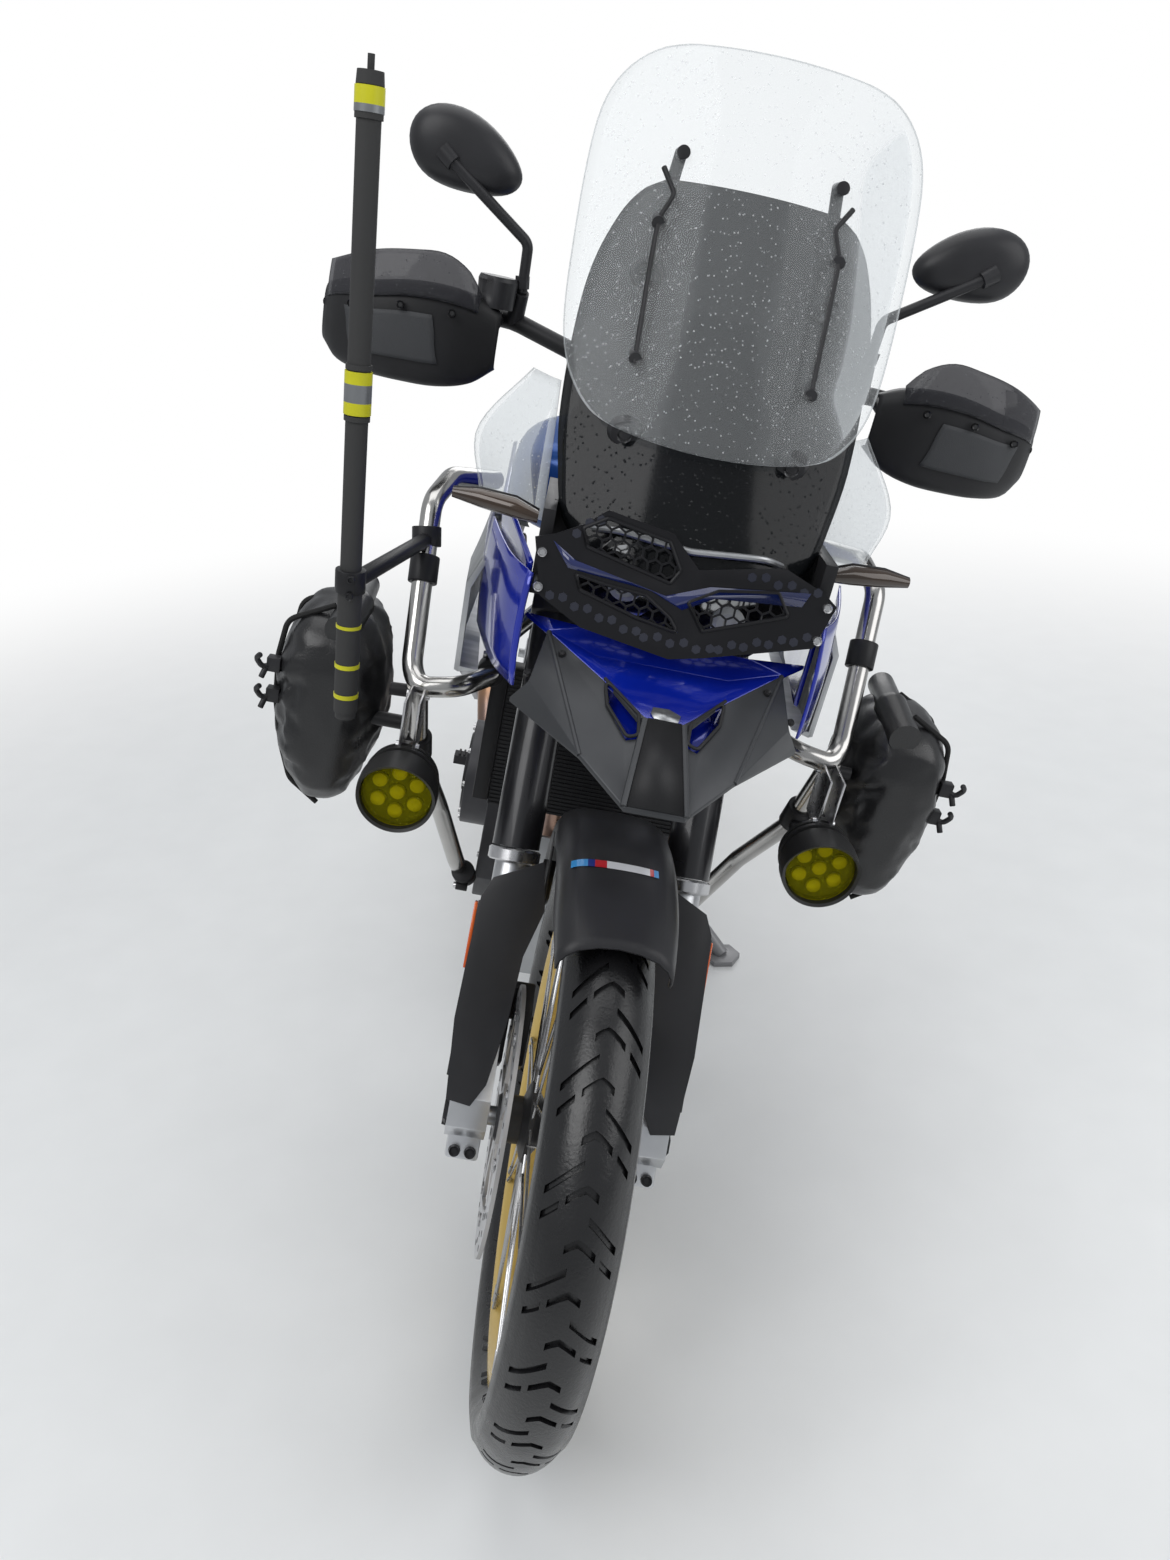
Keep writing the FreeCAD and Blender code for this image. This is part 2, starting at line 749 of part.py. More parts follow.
def fork():
    """Outer tubes with both clamps and the stem, and the sliders with the axle."""
    lower_top = S.lower_clamp_at + S.lower_clamp_height
    upper_top = S.upper_clamp_at + S.upper_clamp_height
    tubes = []
    for side in (-1, 1):
        across = side * S.fork_half_span
        tubes.append(rod(f"outer_tube_{side + 1}", S.outer_tube_radius, S.outer_tube_top - S.outer_tube_foot,
                         (across, -S.fork_ahead, S.outer_tube_foot)))
        tubes.append(rod(f"seal_ring_{side + 1}", S.seal_ring_radius, S.seal_ring_height,
                         (across, -S.fork_ahead, S.outer_tube_foot)))
    reach = S.fork_half_span + S.outer_tube_radius + S.clamp_wall
    ahead = S.fork_ahead + S.outer_tube_radius
    back = S.stem_radius + 9
    plate = ((-reach, 8 - ahead), (14 - reach, -ahead - 6), (44 - S.fork_half_span, -ahead - 6), (-34, 16 - ahead),
             (34, 16 - ahead), (S.fork_half_span - 44, -ahead - 6), (reach - 14, -ahead - 6), (reach, 8 - ahead),
             (reach, -8), (34, back), (-34, back), (-reach, -8))
    clamps = body("fork_clamps")
    pad(clamps, "lower_clamp", "XY_Plane", (plate,), S.lower_clamp_at, lower_top)
    upper = body("fork_upper_clamp")
    pad(upper, "upper_clamp", "XY_Plane", (plate,), S.upper_clamp_at, upper_top)
    stem = rod("steering_stem", S.stem_radius, S.upper_clamp_at - lower_top + 10, (0, 0, lower_top - 5))
    node("fork_outer_tubes", joined("fork_outer_tubes_form", *tubes, clamps, upper, stem), FORK)
    sliders = []
    axle_up = axle_height()
    axle_front = -axle_ahead()
    for side in (-1, 1):
        across = side * S.fork_half_span
        sliders.append(rod(f"slider_{side + 1}", S.slider_radius, S.outer_tube_foot - S.seat_gap - S.lug_top + 20,
                           (across, -S.fork_ahead, S.lug_top - 20)))
        half = S.lug_width / 2
        lug = body(f"lug_{side + 1}")
        low = axle_up - S.lug_radius
        front = axle_front - S.lug_radius
        back = S.lug_radius - S.fork_ahead
        pad(lug, f"lug_form_{side + 1}", "YZ_Plane", ((
            (front, axle_up - 12), (front + 14, low), (axle_front + 14, low), (axle_front + 30, axle_up - 8),
            (back, S.lug_top - 34), (back, S.lug_top), (back - 2 * S.lug_radius, S.lug_top),
            (front, axle_up + 22)),), across - half, across + half)
        sliders.append(lug)
    half = S.axle_half_length
    sliders.append(rod("front_axle", S.axle_radius, 2 * half, (-half, axle_front, axle_up), "X"))
    bore = rod("front_axle_bore", S.axle_bore_radius, 2 * half + 20, (-half - 10, axle_front, axle_up), "X")
    node("fork_sliders", cut_out("fork_sliders_form", joined("sliders_solid", *sliders), bore), FORK)


def axle_height():
    """How far up the steering axis the front axle lies."""
    return S.trail * cosine(S.head_angle) + S.front_radius * sine(S.head_angle)


def axle_ahead():
    """How far ahead of the steering axis the front axle lies."""
    return S.front_radius * cosine(S.head_angle) - S.trail * sine(S.head_angle)


# Outline of the left fork guard. Columns of each row: across, up along the fork
GUARD_OUTLINE = ((70, 655), (60, 600), (75, 545), (79, 470), (90, 396), (104, 370), (132, 374), (139, 465),
                 (137, 540), (134, 605), (124, 628))


def fork_guard():
    """Flat guards ahead of the sliders, fixed to the lugs, with a wing on the outside."""
    back = -axle_ahead() - S.lug_radius - S.seat_gap
    owner = body("fork_guard_body")
    pad(owner, "guard_face", "XZ_Plane", (GUARD_OUTLINE,), back - S.guard_sheet, back)
    wing = ((back - 1, 400), (back + 26, 430), (back + 34, 560), (back - 1, 600))
    pad(owner, "guard_wing", "YZ_Plane", (wing,), 132, 132 + S.guard_sheet)
    node("fork_guards", pair("fork_guard_pair", owner), FORK)


def front_fender():
    """A wide fender over the front tyre, on two stays that reach the sliders."""
    inner = S.front_radius + S.fender_gap
    half = S.fender_half_width
    sheet = S.fender_sheet
    low = inner - S.fender_skirt
    shoulder = inner - 14
    profile = (
        (-half, low), (sheet - half, low), (sheet - half, shoulder), (-half * 0.62, inner), (half * 0.62, inner),
        (half - sheet, shoulder), (half - sheet, low), (half, low), (half, shoulder + sheet / 2),
        (half * 0.62, inner + sheet), (-half * 0.62, inner + sheet), (-half, shoulder + sheet / 2),
    )
    form = body("fender_body")
    turned(form, "fender_form", profile, S.fender_sweep)
    lip = -(inner * sine(S.fender_sweep / 2))
    for side in (-1, 1):
        corner = ((side * (half + 2), lip + 52), (side * (half + 2), lip - 30), (side * 18, lip - 30),
                  (side * 18, lip - 4))
        cut(form, f"fender_lip_{side + 1}", "XY_Plane", (corner,), 100, inner + 40)
    form.Placement = Placement(Vector(0, -number(axle_ahead()), number(axle_height())),
                               Rotation(Vector(1, 0, 0), RAKE - number(S.fender_behind_angle)))
    foot = S.outer_tube_foot - 46
    top = axle_height() + inner - 26.5
    stay = body("fender_stay")
    pad(stay, "fender_stay_form", "YZ_Plane", ((
        (-S.fork_ahead - 12, foot - 14), (12 - S.fork_ahead, foot - 14), (20 - S.fork_ahead, top),
        (-S.fork_ahead - 20, top)),), half - sheet, half)
    peg = rod("fender_peg", 9, S.fork_half_span - S.slider_radius - S.seat_gap - half + 1,
              (half - 1, -S.fork_ahead, foot), "X")
    side = joined("fender_side", stay, peg)
    node("front_fender", joined("front_fender_form", form, side, mirrored(side)), FORK)


def calipers():
    """A caliper on each leg, straddling its disc."""
    slot_low = S.front_disc_at - S.running_gap
    slot_high = S.front_disc_at + S.disc_wall + S.running_gap
    front = S.lug_radius - S.fork_ahead + S.seat_gap
    low = S.lug_top - 34
    owner = body("front_caliper_body")
    outline = ((front, low), (front + 40, low - 14), (front + 72, low + 18), (front + 66, low + 84),
               (front + 22, low + 98), (front, low + 68))
    pad(owner, "caliper_form", "YZ_Plane", (outline,), slot_low - 12, slot_high + 20)
    clear = S.front_disc_radius + S.running_gap
    cut(owner, "caliper_slot", "YZ_Plane", (), slot_low, slot_high, ((-axle_ahead(), axle_height(), clear),))
    node("front_calipers", pair("front_caliper_pair", owner), FORK)


# Handlebar and controls, in an upright frame whose origin is the middle of the bar


BAR_ROUTE = ((0, 0, 0), (95, 0, 0), (225, 30, 32), (300, 52, 28), (436, 96.6, 7.4))


def bar(radius):
    """The whole bar as a tube of some radius."""
    left, right = both_sides(BAR_ROUTE)
    return tube(points(*(tuple(reversed(right)) + left[1:])), radius)


def handlebar():
    """A tapered bar on two risers that stand on the upper clamp."""
    axis = Rotation(Vector(1, 0, 0), -RAKE).multVec(Vector(0, 0, 1))
    drop = number(S.bar_up) - number(S.upper_clamp_at) - number(S.upper_clamp_height) - number(S.seat_gap)
    shape = bar(S.bar_radius)
    for side in (-1, 1):
        middle = Vector(side * number(S.riser_at), 0, 0)
        foot = middle - axis * drop
        shape = shape.fuse(Part.makeCylinder(number(S.riser_radius), drop + number(S.bar_radius), foot, axis))
    node("handlebar", shaped("handlebar_form", shape), BAR_FRAME)


def grips():
    """Rubber grips, switch pods and levers on the bar's ends."""
    start, end = points(BAR_ROUTE[3], BAR_ROUTE[4])
    way = (end - start).normalize()
    length = (end - start).Length
    grip = Part.makeCylinder(number(S.grip_radius), length - 34, start + way * 34, way)
    pod = Part.makeCylinder(25, 34, start + way * 2, way)
    root = start + way * 18
    lever = tube([root + Vector(0, -14, 0), root + Vector(14, -56, -6), end + Vector(-16, -62, -4)], 6)
    shape = seated(grip.fuse([pod, lever]), bar(S.bar_radius + S.seat_gap))
    node("grips_and_levers", pair("grips_pair", shaped("grip_left", shape)), BAR_FRAME)


# Sections of the left handguard. Columns of each row: across, front, low, high, depth
HANDGUARD_SECTIONS = (
    (236, -26, -10, 50, 22),
    (275, -38, -50, 72, 30),
    (330, -48, -56, 82, 34),
    (414, -30, -51, 72, 34),
    (450, 14, -18, 50, 40),
)


def handguards():
    """A shell ahead of each hand, carried by the bar's end, with a clear deflector above it."""
    owner = body("handguard_body")
    sheet = S.panel_sheet
    sections = []
    for across, front, low, high, depth in HANDGUARD_SECTIONS:
        sections.append((across, ((front, low + 14), (front + depth, low), (front + depth, low + sheet),
                                  (front + sheet, low + 16), (front + sheet, high - 12),
                                  (front + depth, high - sheet), (front + depth, high), (front, high - 10))))
    loft(owner, "handguard_shell", "YZ_Plane", sections)
    DOCUMENT.recompute()
    start, end = points(BAR_ROUTE[3], BAR_ROUTE[4])
    way = (end - start).normalize()
    cap = Part.makeCylinder(15, 16, end + way * number(S.seat_gap), way)
    ahead = way.cross(Vector(0, 0, 1)).normalize()
    elbow = end + way * 9 + ahead * 34
    outer_arm = tube([end + way * 9, elbow, Vector(446, 12, 10)], 7)
    inner_arm = tube([Vector(246, -26, 18), Vector(240, 34, 31)], 7)
    shape = owner.Shape.fuse([cap, outer_arm, inner_arm])
    shape = seated(shape, bar(S.bar_radius + S.seat_gap))
    node("handguards", pair("handguard_pair", shaped("handguard_left", shape)), BAR_FRAME)
    outline = ((270, -36, 66), (284, -36, 102), (324, -36, 140), (379, -36, 122), (438, -36, 60), (416, -36, 56),
               (330, -36, 60))
    clear = seated(sheet_of(outline, ((0, 1, 2, 3, 4, 5, 6),), (0, 4, 0)), shape)
    node("hand_deflectors", pair("hand_deflector_pair", shaped("hand_deflector_left", largest(clear))), BAR_FRAME)


def mirrors():
    """Teardrop mirrors on bent stalks that stand on the bar."""
    boss = tube(points((222, 29, 31), (217, 10, 66)), 11)
    stalk = tube(points((217, 10, 66), (232, 8, 120), (286, 8, 196)), 6)
    owner = body("mirror_head")
    loft(owner, "mirror_form", "XZ_Plane", (
        (22, ((241, 212), (256, 178), (317, 154), (375, 196), (341, 240), (280, 250))),
        (-6, ((262, 210), (272, 188), (315, 172), (352, 198), (330, 226), (286, 232))),
    ))
    DOCUMENT.recompute()
    shape = seated(boss.fuse([stalk, owner.Shape]), bar(S.bar_radius + S.seat_gap))
    node("mirrors", pair("mirror_pair", shaped("mirror_left", shape)), BAR_FRAME)


# Frame, engine and running gear

# The way the side stand's leg points when it is folded
FOLDED = Vector(0.203, 0.974, 0.101)


def stand_line():
    """The stand's pivot and the directions of its leg down, its leg folded and its pin."""
    pivot = Vector(number(S.stand_pivot_side), number(S.stand_pivot_back), number(S.stand_pivot_height))
    foot = STANCE.inverse().multVec(stand_foot() + Vector(0, 0, number(S.foot_wall)))
    down = (foot - pivot).normalize()
    pin = down.cross(FOLDED).normalize()
    return pivot, foot, down, pin


def stand_foot():
    """The middle of the stand's foot on the ground, in the parked frame."""
    return Vector(number(S.foot_side) - number(S.origin_side), number(S.foot_back) - number(S.origin_back), 0)


def main_frame():
    """Head tube, two spars to the swingarm's pivot, the nose arm and the stand's pin."""
    low = S.lower_clamp_at + S.lower_clamp_height + S.seat_gap
    high = S.upper_clamp_at - S.seat_gap
    head = Part.makeCylinder(number(S.head_tube_radius), number(high - low), Vector(0, 0, number(low)))
    bore = Part.makeCylinder(number(S.stem_radius + S.seat_gap), number(high - low) + 20, Vector(0, 0, number(low) - 10))
    head.Placement = STEERING
    bore.Placement = STEERING
    neck = body("neck")
    loft(neck, "neck_form", "XZ_Plane", (
        (405, ((-24, 880), (24, 880), (24, 962), (-24, 962))),
        (470, ((-46, 815), (46, 815), (46, 905), (-46, 905))),
        (560, ((-84, 765), (84, 765), (84, 868), (-84, 868))),
    ))
    outer = S.spar_at + S.spar_wall
    spar = body("spar")
    pad(spar, "spar_form", "YZ_Plane", ((
        (548, 868), (548, 765), (770, 740), (870, 640), (960, 480), (960, 350), (962, 305), (898, 246), (900, 218),
        (935, 218), (1030, 300), (1035, 350), (1035, 452), (1010, 560), (905, 735), (760, 850)),), S.spar_at, outer)
    other = body("right_spar")
    pad(other, "right_spar_form", "YZ_Plane", ((
        (548, 868), (548, 765), (770, 740), (870, 640), (960, 480), (960, 350), (962, 290), (1030, 290),
        (1035, 350), (1035, 452), (1010, 560), (905, 735), (760, 850)),), -outer, -S.spar_at)
    DOCUMENT.recompute()
    across = Vector(1, 0, 0)
    spar_at = number(S.spar_at)
    pieces = [neck.Shape, spar.Shape, other.Shape]
    for radius, back, up in ((number(S.pivot_radius) + 8, number(S.pivot_back), number(S.pivot_height)),
                             (16, 925, 640)):
        pieces.append(Part.makeCylinder(radius, 2 * spar_at + 4, Vector(-spar_at - 2, back, up), across))
    reach = number(S.arm_inner + S.arm_wall)
    pieces.append(Part.makeCylinder(number(S.pivot_radius), 2 * reach,
                                    Vector(-reach, number(S.pivot_back), number(S.pivot_height)), across))
    nose = number(S.bracket_back + S.seat_gap)
    pieces.append(Part.makeBox(36, 400 - nose, 64, Vector(-18, nose, 960)))
    pivot, foot, down, pin = stand_line()
    gap = number(S.seat_gap)
    half = number(S.stand_eye_half)
    pieces.append(Part.makeCylinder(number(S.stand_eye_radius), 14, pivot - pin * (half + gap + 14), pin))
    pieces.append(Part.makeCylinder(number(S.stand_pin_radius), 2 * half + 6, pivot - pin * (half + 3), pin))
    elbow = pivot - pin * (half + gap + 9)
    pieces.append(tube([elbow, Vector(number(outer) - 6, elbow.y, elbow.z + 12)], 9))
    shape = head.fuse(pieces).cut(bore)
    node("main_frame", shaped("main_frame_form", shape.removeSplitter()))


# Routes of the rear subframe's tubes: across, back, up
RAIL = ((95.3, 860, 742), (95.3, 1000, 822), (95.3, 1250, 822), (70, 1520, 862))
STRUT = ((95.3, 985, 560), (95.3, 1120, 700), (91.3, 1320, 826))


def rear_subframe():
    """Tubes that carry the seat and the tail, alongside the spars."""
    cross = (((-95.3, 1060, 822), (95.3, 1060, 822)), ((-90.6, 1300, 829.4), (90.6, 1300, 829.4)))
    node("rear_subframe", tube_set("rear_subframe_form", S.tube_radius, *both_sides(RAIL), *both_sides(STRUT), *cross))


def engine():
    """A parallel twin as one plain block with its covers, cylinders, head and front sprocket."""
    case = body("crankcase")
    half = S.case_half_width
    pad(case, "crankcase_form", "YZ_Plane", ((
        (545, 320), (590, 258), (880, 250), (940, 300), (940, 470), (860, 540), (560, 500)),), -half, half)
    cut(case, "sprocket_bay", "YZ_Plane", (((845, 345), (945, 345), (945, 475), (845, 475)),), 80, half + 1)
    cylinders = body("cylinders")
    pad(cylinders, "cylinders_form", "YZ_Plane", ((
        (548, 495), (775, 515), (735, 652), (520, 632)),), -S.cylinder_half_width, S.cylinder_half_width)
    head = body("cylinder_head")
    pad(head, "cylinder_head_form", "YZ_Plane", ((
        (512, 632), (742, 652), (722, 722), (500, 706)),), -S.cylinder_half_width - 12, S.cylinder_half_width + 12)
    clutch = rod("clutch_cover", S.clutch_cover_radius, S.clutch_cover_depth + 1, (-half - S.clutch_cover_depth, 800, 378),
                 "X")
    generator = rod("generator_cover", S.generator_cover_radius, S.generator_cover_depth + 1, (half - 1, 640, 368), "X")
    spot = (S.front_sprocket_back, S.front_sprocket_height)
    shaft = rod("sprocket_shaft", 14, 12, (78, *spot), "X")
    chain_at = S.sprocket_at + S.sprocket_wall / 2 - S.chain_width / 2
    sprocket = rod("front_sprocket", S.front_sprocket_radius - S.seat_gap, S.chain_width - 2, (chain_at + 1, *spot), "X")
    node("engine_block", joined("engine_form", case, cylinders, head, clutch, generator, shaft, sprocket))


def radiator():
    """A cooler ahead of the engine, behind the front wheel."""
    core = block("radiator_core", (-150, 150), (424, 452), (520, 730))
    left_tank = block("radiator_tank_left", (150, 172), (418, 458), (528, 722))
    right_tank = block("radiator_tank_right", (-172, -150), (418, 458), (528, 722))
    mounts = [block(f"radiator_mount_{place}", (across - 10, across + 10), (451, 500), (690, 704))
              for place, across in enumerate((-90, 90))]
    node("radiator", joined("radiator_form", core, left_tank, right_tank, *mounts))


def exhaust():
    """Two header pipes into one collector, and the silencer on the right."""
    right = ((-48, 530, 672), (-48, 480, 650), (-43, 478, 420), (-34, 522, 240), (-44, 622, 222))
    left = ((48, 530, 672), (48, 480, 650), (43, 478, 420), (34, 522, 240), (4, 622, 222), (-44, 700, 222))
    collector = ((-44, 604, 222), (-70, 780, 217), (-124, 930, 222), (-176, 1090, 312), (-192, 1150, 382),
                 (-195, 1190, 383))
    shapes = [tube(points(*route), S.header_radius) for route in (right, left)]
    shapes.append(tube(points(*collector), S.header_radius + 5))
    can = body("silencer_body")
    loft(can, "silencer_form", "XZ_Plane", (
        (1183, ((-222, 352), (-168, 352), (-160, 384), (-168, 414), (-222, 414), (-230, 384))),
        (1260, ((-262, 372), (-184, 372), (-172, 432), (-184, 492), (-262, 492), (-276, 432))),
        (1640, ((-268, 470), (-184, 470), (-172, 540), (-184, 602), (-268, 602), (-284, 540))),
        (1690, ((-250, 500), (-200, 500), (-190, 545), (-200, 590), (-250, 590), (-262, 545))),
    ))
    DOCUMENT.recompute()
    header = seated(shapes[0].fuse(shapes[1:]), can.Shape, DOCUMENT.cylinder_head.Shape)
    node("exhaust_header", shaped("exhaust_header_form", largest(header)))
    tip = tube(points((-226, 1680, 545), (-228, 1712, 550)), 26)
    hanger = tube(points((-215, 1330, 480), (-190, 1330, 700), (-91, 1322, 826)), 8)
    strut = tube(points(*both_sides(STRUT)[1]), S.tube_radius + S.seat_gap)
    rail = tube(points(*both_sides(RAIL)[1]), S.tube_radius + S.seat_gap)
    shape = seated(can.Shape.fuse([tip, hanger]), strut, rail)
    node("silencer", shaped("silencer_form_whole", largest(shape)))


def skid_plate():
    """A bent plate below the engine, on three posts."""
    owner = body("skid_plate_body")
    pad(owner, "skid_plate_form", "YZ_Plane", ((
        (452, 470), (446, 470), (440, 330), (500, 184), (890, 176), (890, 182), (504, 190), (446, 332)),), -120, 120)
    posts = [rod(f"skid_post_{place}", 8, high - low, (across, back, low)) for place, (across, back, low, high)
             in enumerate(((108, 620, 184, 256.6), (-108, 620, 184, 256.6), (20, 860, 179, 249.9)))]
    node("skid_plate", joined("skid_plate_whole", owner, *posts))


def swingarm():
    """Two arms from the pivot to the rear axle, joined behind the engine."""
    arm = body("arm")
    pad(arm, "arm_form", "YZ_Plane", ((
        (S.pivot_back - 28, S.pivot_height - 26), (S.pivot_back + 60, S.pivot_height - 48),
        (S.wheelbase - 40, S.rear_radius - 30), (S.wheelbase + 46, S.rear_radius - 24),
        (S.wheelbase + 46, S.rear_radius + 24), (S.wheelbase - 60, S.rear_radius + 30),
        (S.pivot_back + 100, S.pivot_height + 30), (S.pivot_back - 28, S.pivot_height + 26)),),
        S.arm_inner + S.seat_gap, S.arm_inner + S.arm_wall)
    DOCUMENT.recompute()
    inner = number(S.arm_inner)
    cross = Part.makeBox(2 * inner + 4, 70, 60, Vector(-inner - 2, number(S.pivot_back) + 82,
                                                       number(S.pivot_height) - 36))
    twin = arm.Shape.mirror(Vector(), Vector(1, 0, 0))
    axle = Part.makeCylinder(number(S.rear_axle_radius), 2 * inner + 90, Vector(-inner - 45, number(S.wheelbase),
                             number(S.rear_radius)), Vector(1, 0, 0))
    pivot = Part.makeCylinder(number(S.pivot_radius + S.seat_gap), 400, Vector(-200, number(S.pivot_back),
                              number(S.pivot_height)), Vector(1, 0, 0))
    shape = arm.Shape.fuse([twin, cross, axle]).cut(pivot)
    node("swingarm", shaped("swingarm_form", shape))


def rear_shock():
    """A spring strut between the frame's upper cross tube and the swingarm."""
    foot, top = points((0, S.pivot_back + 109, S.pivot_height + 32.7), (0, 925, 640))
    way = (top - foot).normalize()
    strut = tube([foot, top - way * (16 + number(S.seat_gap))], 12)
    spring = tube([foot + way * 34, top - way * 52], 32)
    node("rear_shock", shaped("rear_shock_form", strut.fuse(spring)))


def drive_chain():
    """A closed loop of chain about both sprockets."""
    across = number(S.sprocket_at + S.sprocket_wall / 2 - S.chain_width / 2)
    front = Vector(across, number(S.front_sprocket_back), number(S.front_sprocket_height))
    rear = Vector(across, number(S.wheelbase), number(S.rear_radius))
    small = number(S.front_sprocket_radius)
    large = number(S.sprocket_radius + S.running_gap)
    loops = [belt(front, rear, small + extra, large + extra) for extra in (number(S.chain_depth), 0)]
    outer, inner = (Part.Face(loop).extrude(Vector(number(S.chain_width), 0, 0)) for loop in loops)
    node("drive_chain", shaped("drive_chain_form", outer.cut(inner)))


def belt(front, rear, small, large):
    """The loop of a belt about two wheels, in the plane across the machine."""
    way = rear - front
    reach = way.Length
    tilt = math.atan2(way.z, way.y)
    spread = math.asin((large - small) / reach)
    upper, lower = tilt + math.pi / 2 + spread, tilt - math.pi / 2 - spread
    spots = [front + Vector(0, math.cos(angle), math.sin(angle)) * small for angle in (upper, tilt + math.pi, lower)]
    ends = [rear + Vector(0, math.cos(angle), math.sin(angle)) * large for angle in (lower, tilt, upper)]
    return Part.Wire([
        Part.Arc(spots[0], spots[1], spots[2]).toShape(),
        Part.makeLine(spots[2], ends[0]),
        Part.Arc(ends[0], ends[1], ends[2]).toShape(),
        Part.makeLine(ends[2], spots[0]),
    ])


def rear_caliper():
    """The rear caliper on the right arm."""
    face = -S.rear_disc_at - S.disc_wall
    gap = S.running_gap
    owner = body("rear_caliper_body")
    back, up = S.wheelbase, S.rear_radius
    pad(owner, "rear_caliper_form", "YZ_Plane", ((
        (back - 152, up), (back - 92, up + 14), (back - 70, up + 86), (back - 116, up + 122), (back - 158, up + 84)),),
        -S.arm_inner, gap + 8 - S.rear_disc_at)
    cut(owner, "rear_caliper_slot", "YZ_Plane", (), face - gap, gap - S.rear_disc_at,
        ((back, up, S.rear_disc_radius + gap),))
    node("rear_caliper", owner)


# Corners of the beak and of the nose panel behind it, right side first: across, back, up
BEAK_CORNERS = (
    (-27, -127, 836), (27, -127, 836), (-142, 14, 859), (142, 14, 859), (-117, 50, 920), (117, 50, 920),
    (-66, 50, 903), (66, 50, 903), (-17, -50, 890), (17, -50, 890), (-71, -80, 856), (71, -80, 856),
    (-127, 4, 883), (127, 4, 883), (-142, 75, 926), (142, 75, 926), (-84, 63, 926), (84, 63, 926),
)
BEAK_FACES = ((8, 0, 1, 9), (8, 10, 0), (8, 4, 10), (4, 12, 10), (12, 2, 10),
              (9, 1, 11), (9, 11, 5), (5, 11, 13), (13, 11, 3))
BEAK_SLOT = ((-57.7, -6.9), (-24.1, -49.7), (-22.4, -68.0), (-32.5, -69.0), (-52.7, -35.4))
NOSE_FACES = ((4, 8, 6), (6, 8, 9, 7), (7, 9, 5), (4, 6, 16), (4, 16, 14), (6, 7, 17, 16), (7, 5, 17), (5, 15, 17))


def beak():
    """A folded beak with two ridges and a channel to its tip, a slot in each wing, and the nose panel."""
    drop = (0, 0, -number(S.panel_sheet))
    shell = sheet_of(BEAK_CORNERS, BEAK_FACES, drop)
    for side in (1, -1):
        slot = [Vector(side * across, back, 930) for across, back in BEAK_SLOT]
        shell = shell.cut(Part.Face(Part.makePolygon(slot + slot[:1])).extrude(Vector(0, 0, -80)))
    spine = Part.makeBox(32, number(CELLS["lamp_unit_rear_back"]) + 64, 18, Vector(-16, -64, 862))
    node("beak", shaped("beak_form", shell.fuse(spine)))
    node("nose_panel", shaped("nose_panel_form", sheet_of(BEAK_CORNERS, NOSE_FACES, drop)))


def bodywork():
    """Tank, shrouds, blue panels, beak, seats and tail."""
    tank = sectioned("fuel_tank_body", "tank")
    shroud = body("shroud")
    loft(shroud, "shroud_form", "XZ_Plane", (
        (210, ((184, 802), (206, 796), (211, 798), (212, 900), (198, 930), (193, 928), (206, 896), (205, 803))),
        (380, ((196, 790), (216, 784), (221, 786), (222, 880), (208, 930), (203, 928), (216, 878), (215, 791))),
        (600, ((200, 802), (212, 796), (217, 798), (217, 880), (213, 920), (208, 918), (212, 878), (211, 803))),
    ))
    DOCUMENT.recompute()
    peg = tube(points((212, 580, 890), (160, 580, 890)), 8)
    shape = seated(shroud.Shape.fuse(peg), tank.Shape)
    node("fuel_tank", tank)
    node("side_shrouds", pair("side_shroud_pair", shaped("side_shroud_left", shape)))
    panel = body("blue_panel")
    inner = S.arm_outer + S.seat_gap
    loft(panel, "blue_panel_form", "XZ_Plane", (
        (75, ((inner, 882), (inner + 5, 880), (inner + 5, 975), (inner, 977))),
        (300, ((172, 860), (177, 858), (192, 985), (187, 987))),
        (540, ((200, 880), (205, 878), (200, 1000), (195, 1002))),
    ))
    node("blue_side_panels", pair("blue_panel_pair", panel))
    beak()
    seats = grouped("seats", sectioned("rider_seat_body", "rider_seat"), sectioned("pillion_seat_body", "pillion_seat"))
    node("seat", seats)
    node("tail_unit", sectioned("tail_unit_body", "tail"))


# Corners of the headlight guard and of its three windows, on its own plane: across, up
GUARD_CORNERS = ((-145, 26), (-131, -26), (-89, -48), (-1, -62), (30, -55), (132, -26), (145, 16), (131, 26),
                 (89, 42), (10, 25), (-20, 53), (-83, 62), (-102, 46), (-127, 32))
GUARD_WINDOWS = (
    ((-103, 42), (-96, 26), (-14, 8), (-7, 21), (-22, 45), (-82, 55)),
    ((-102, 0), (-95, -14), (-39, -29), (3, -36), (-8, -23), (-34, -7), (-76, -4)),
    ((6, -6), (25, -30), (102, -1), (88, 19), (32, 10)),
)


def honeycomb(window):
    """A thin mesh of six-sided holes that fills a window of the headlight guard."""
    wall = number(S.mesh_sheet)
    corners = [Vector(across, up, -wall / 2) for across, up in window]
    sheet = Part.Face(Part.makePolygon(corners + corners[:1])).extrude(Vector(0, 0, wall))
    pitch = number(S.mesh_pitch)
    step = pitch * math.sqrt(3) / 2
    reach = (pitch - number(S.mesh_web)) / math.sqrt(3)
    box = sheet.BoundBox
    holes = []
    for row in range(math.ceil(box.YLength / step) + 1):
        for column in range(math.ceil(box.XLength / pitch) + 1):
            middle = Vector(box.XMin + pitch * (column + 0.5 * (row % 2)), box.YMin + step * row, -wall)
            ring = [middle + Vector(math.sin(turn), math.cos(turn), 0) * reach
                    for turn in (math.radians(60 * corner) for corner in range(6))]
            holes.append(Part.Face(Part.makePolygon(ring + ring[:1])).extrude(Vector(0, 0, 2 * wall)))
    return sheet.cut(holes)


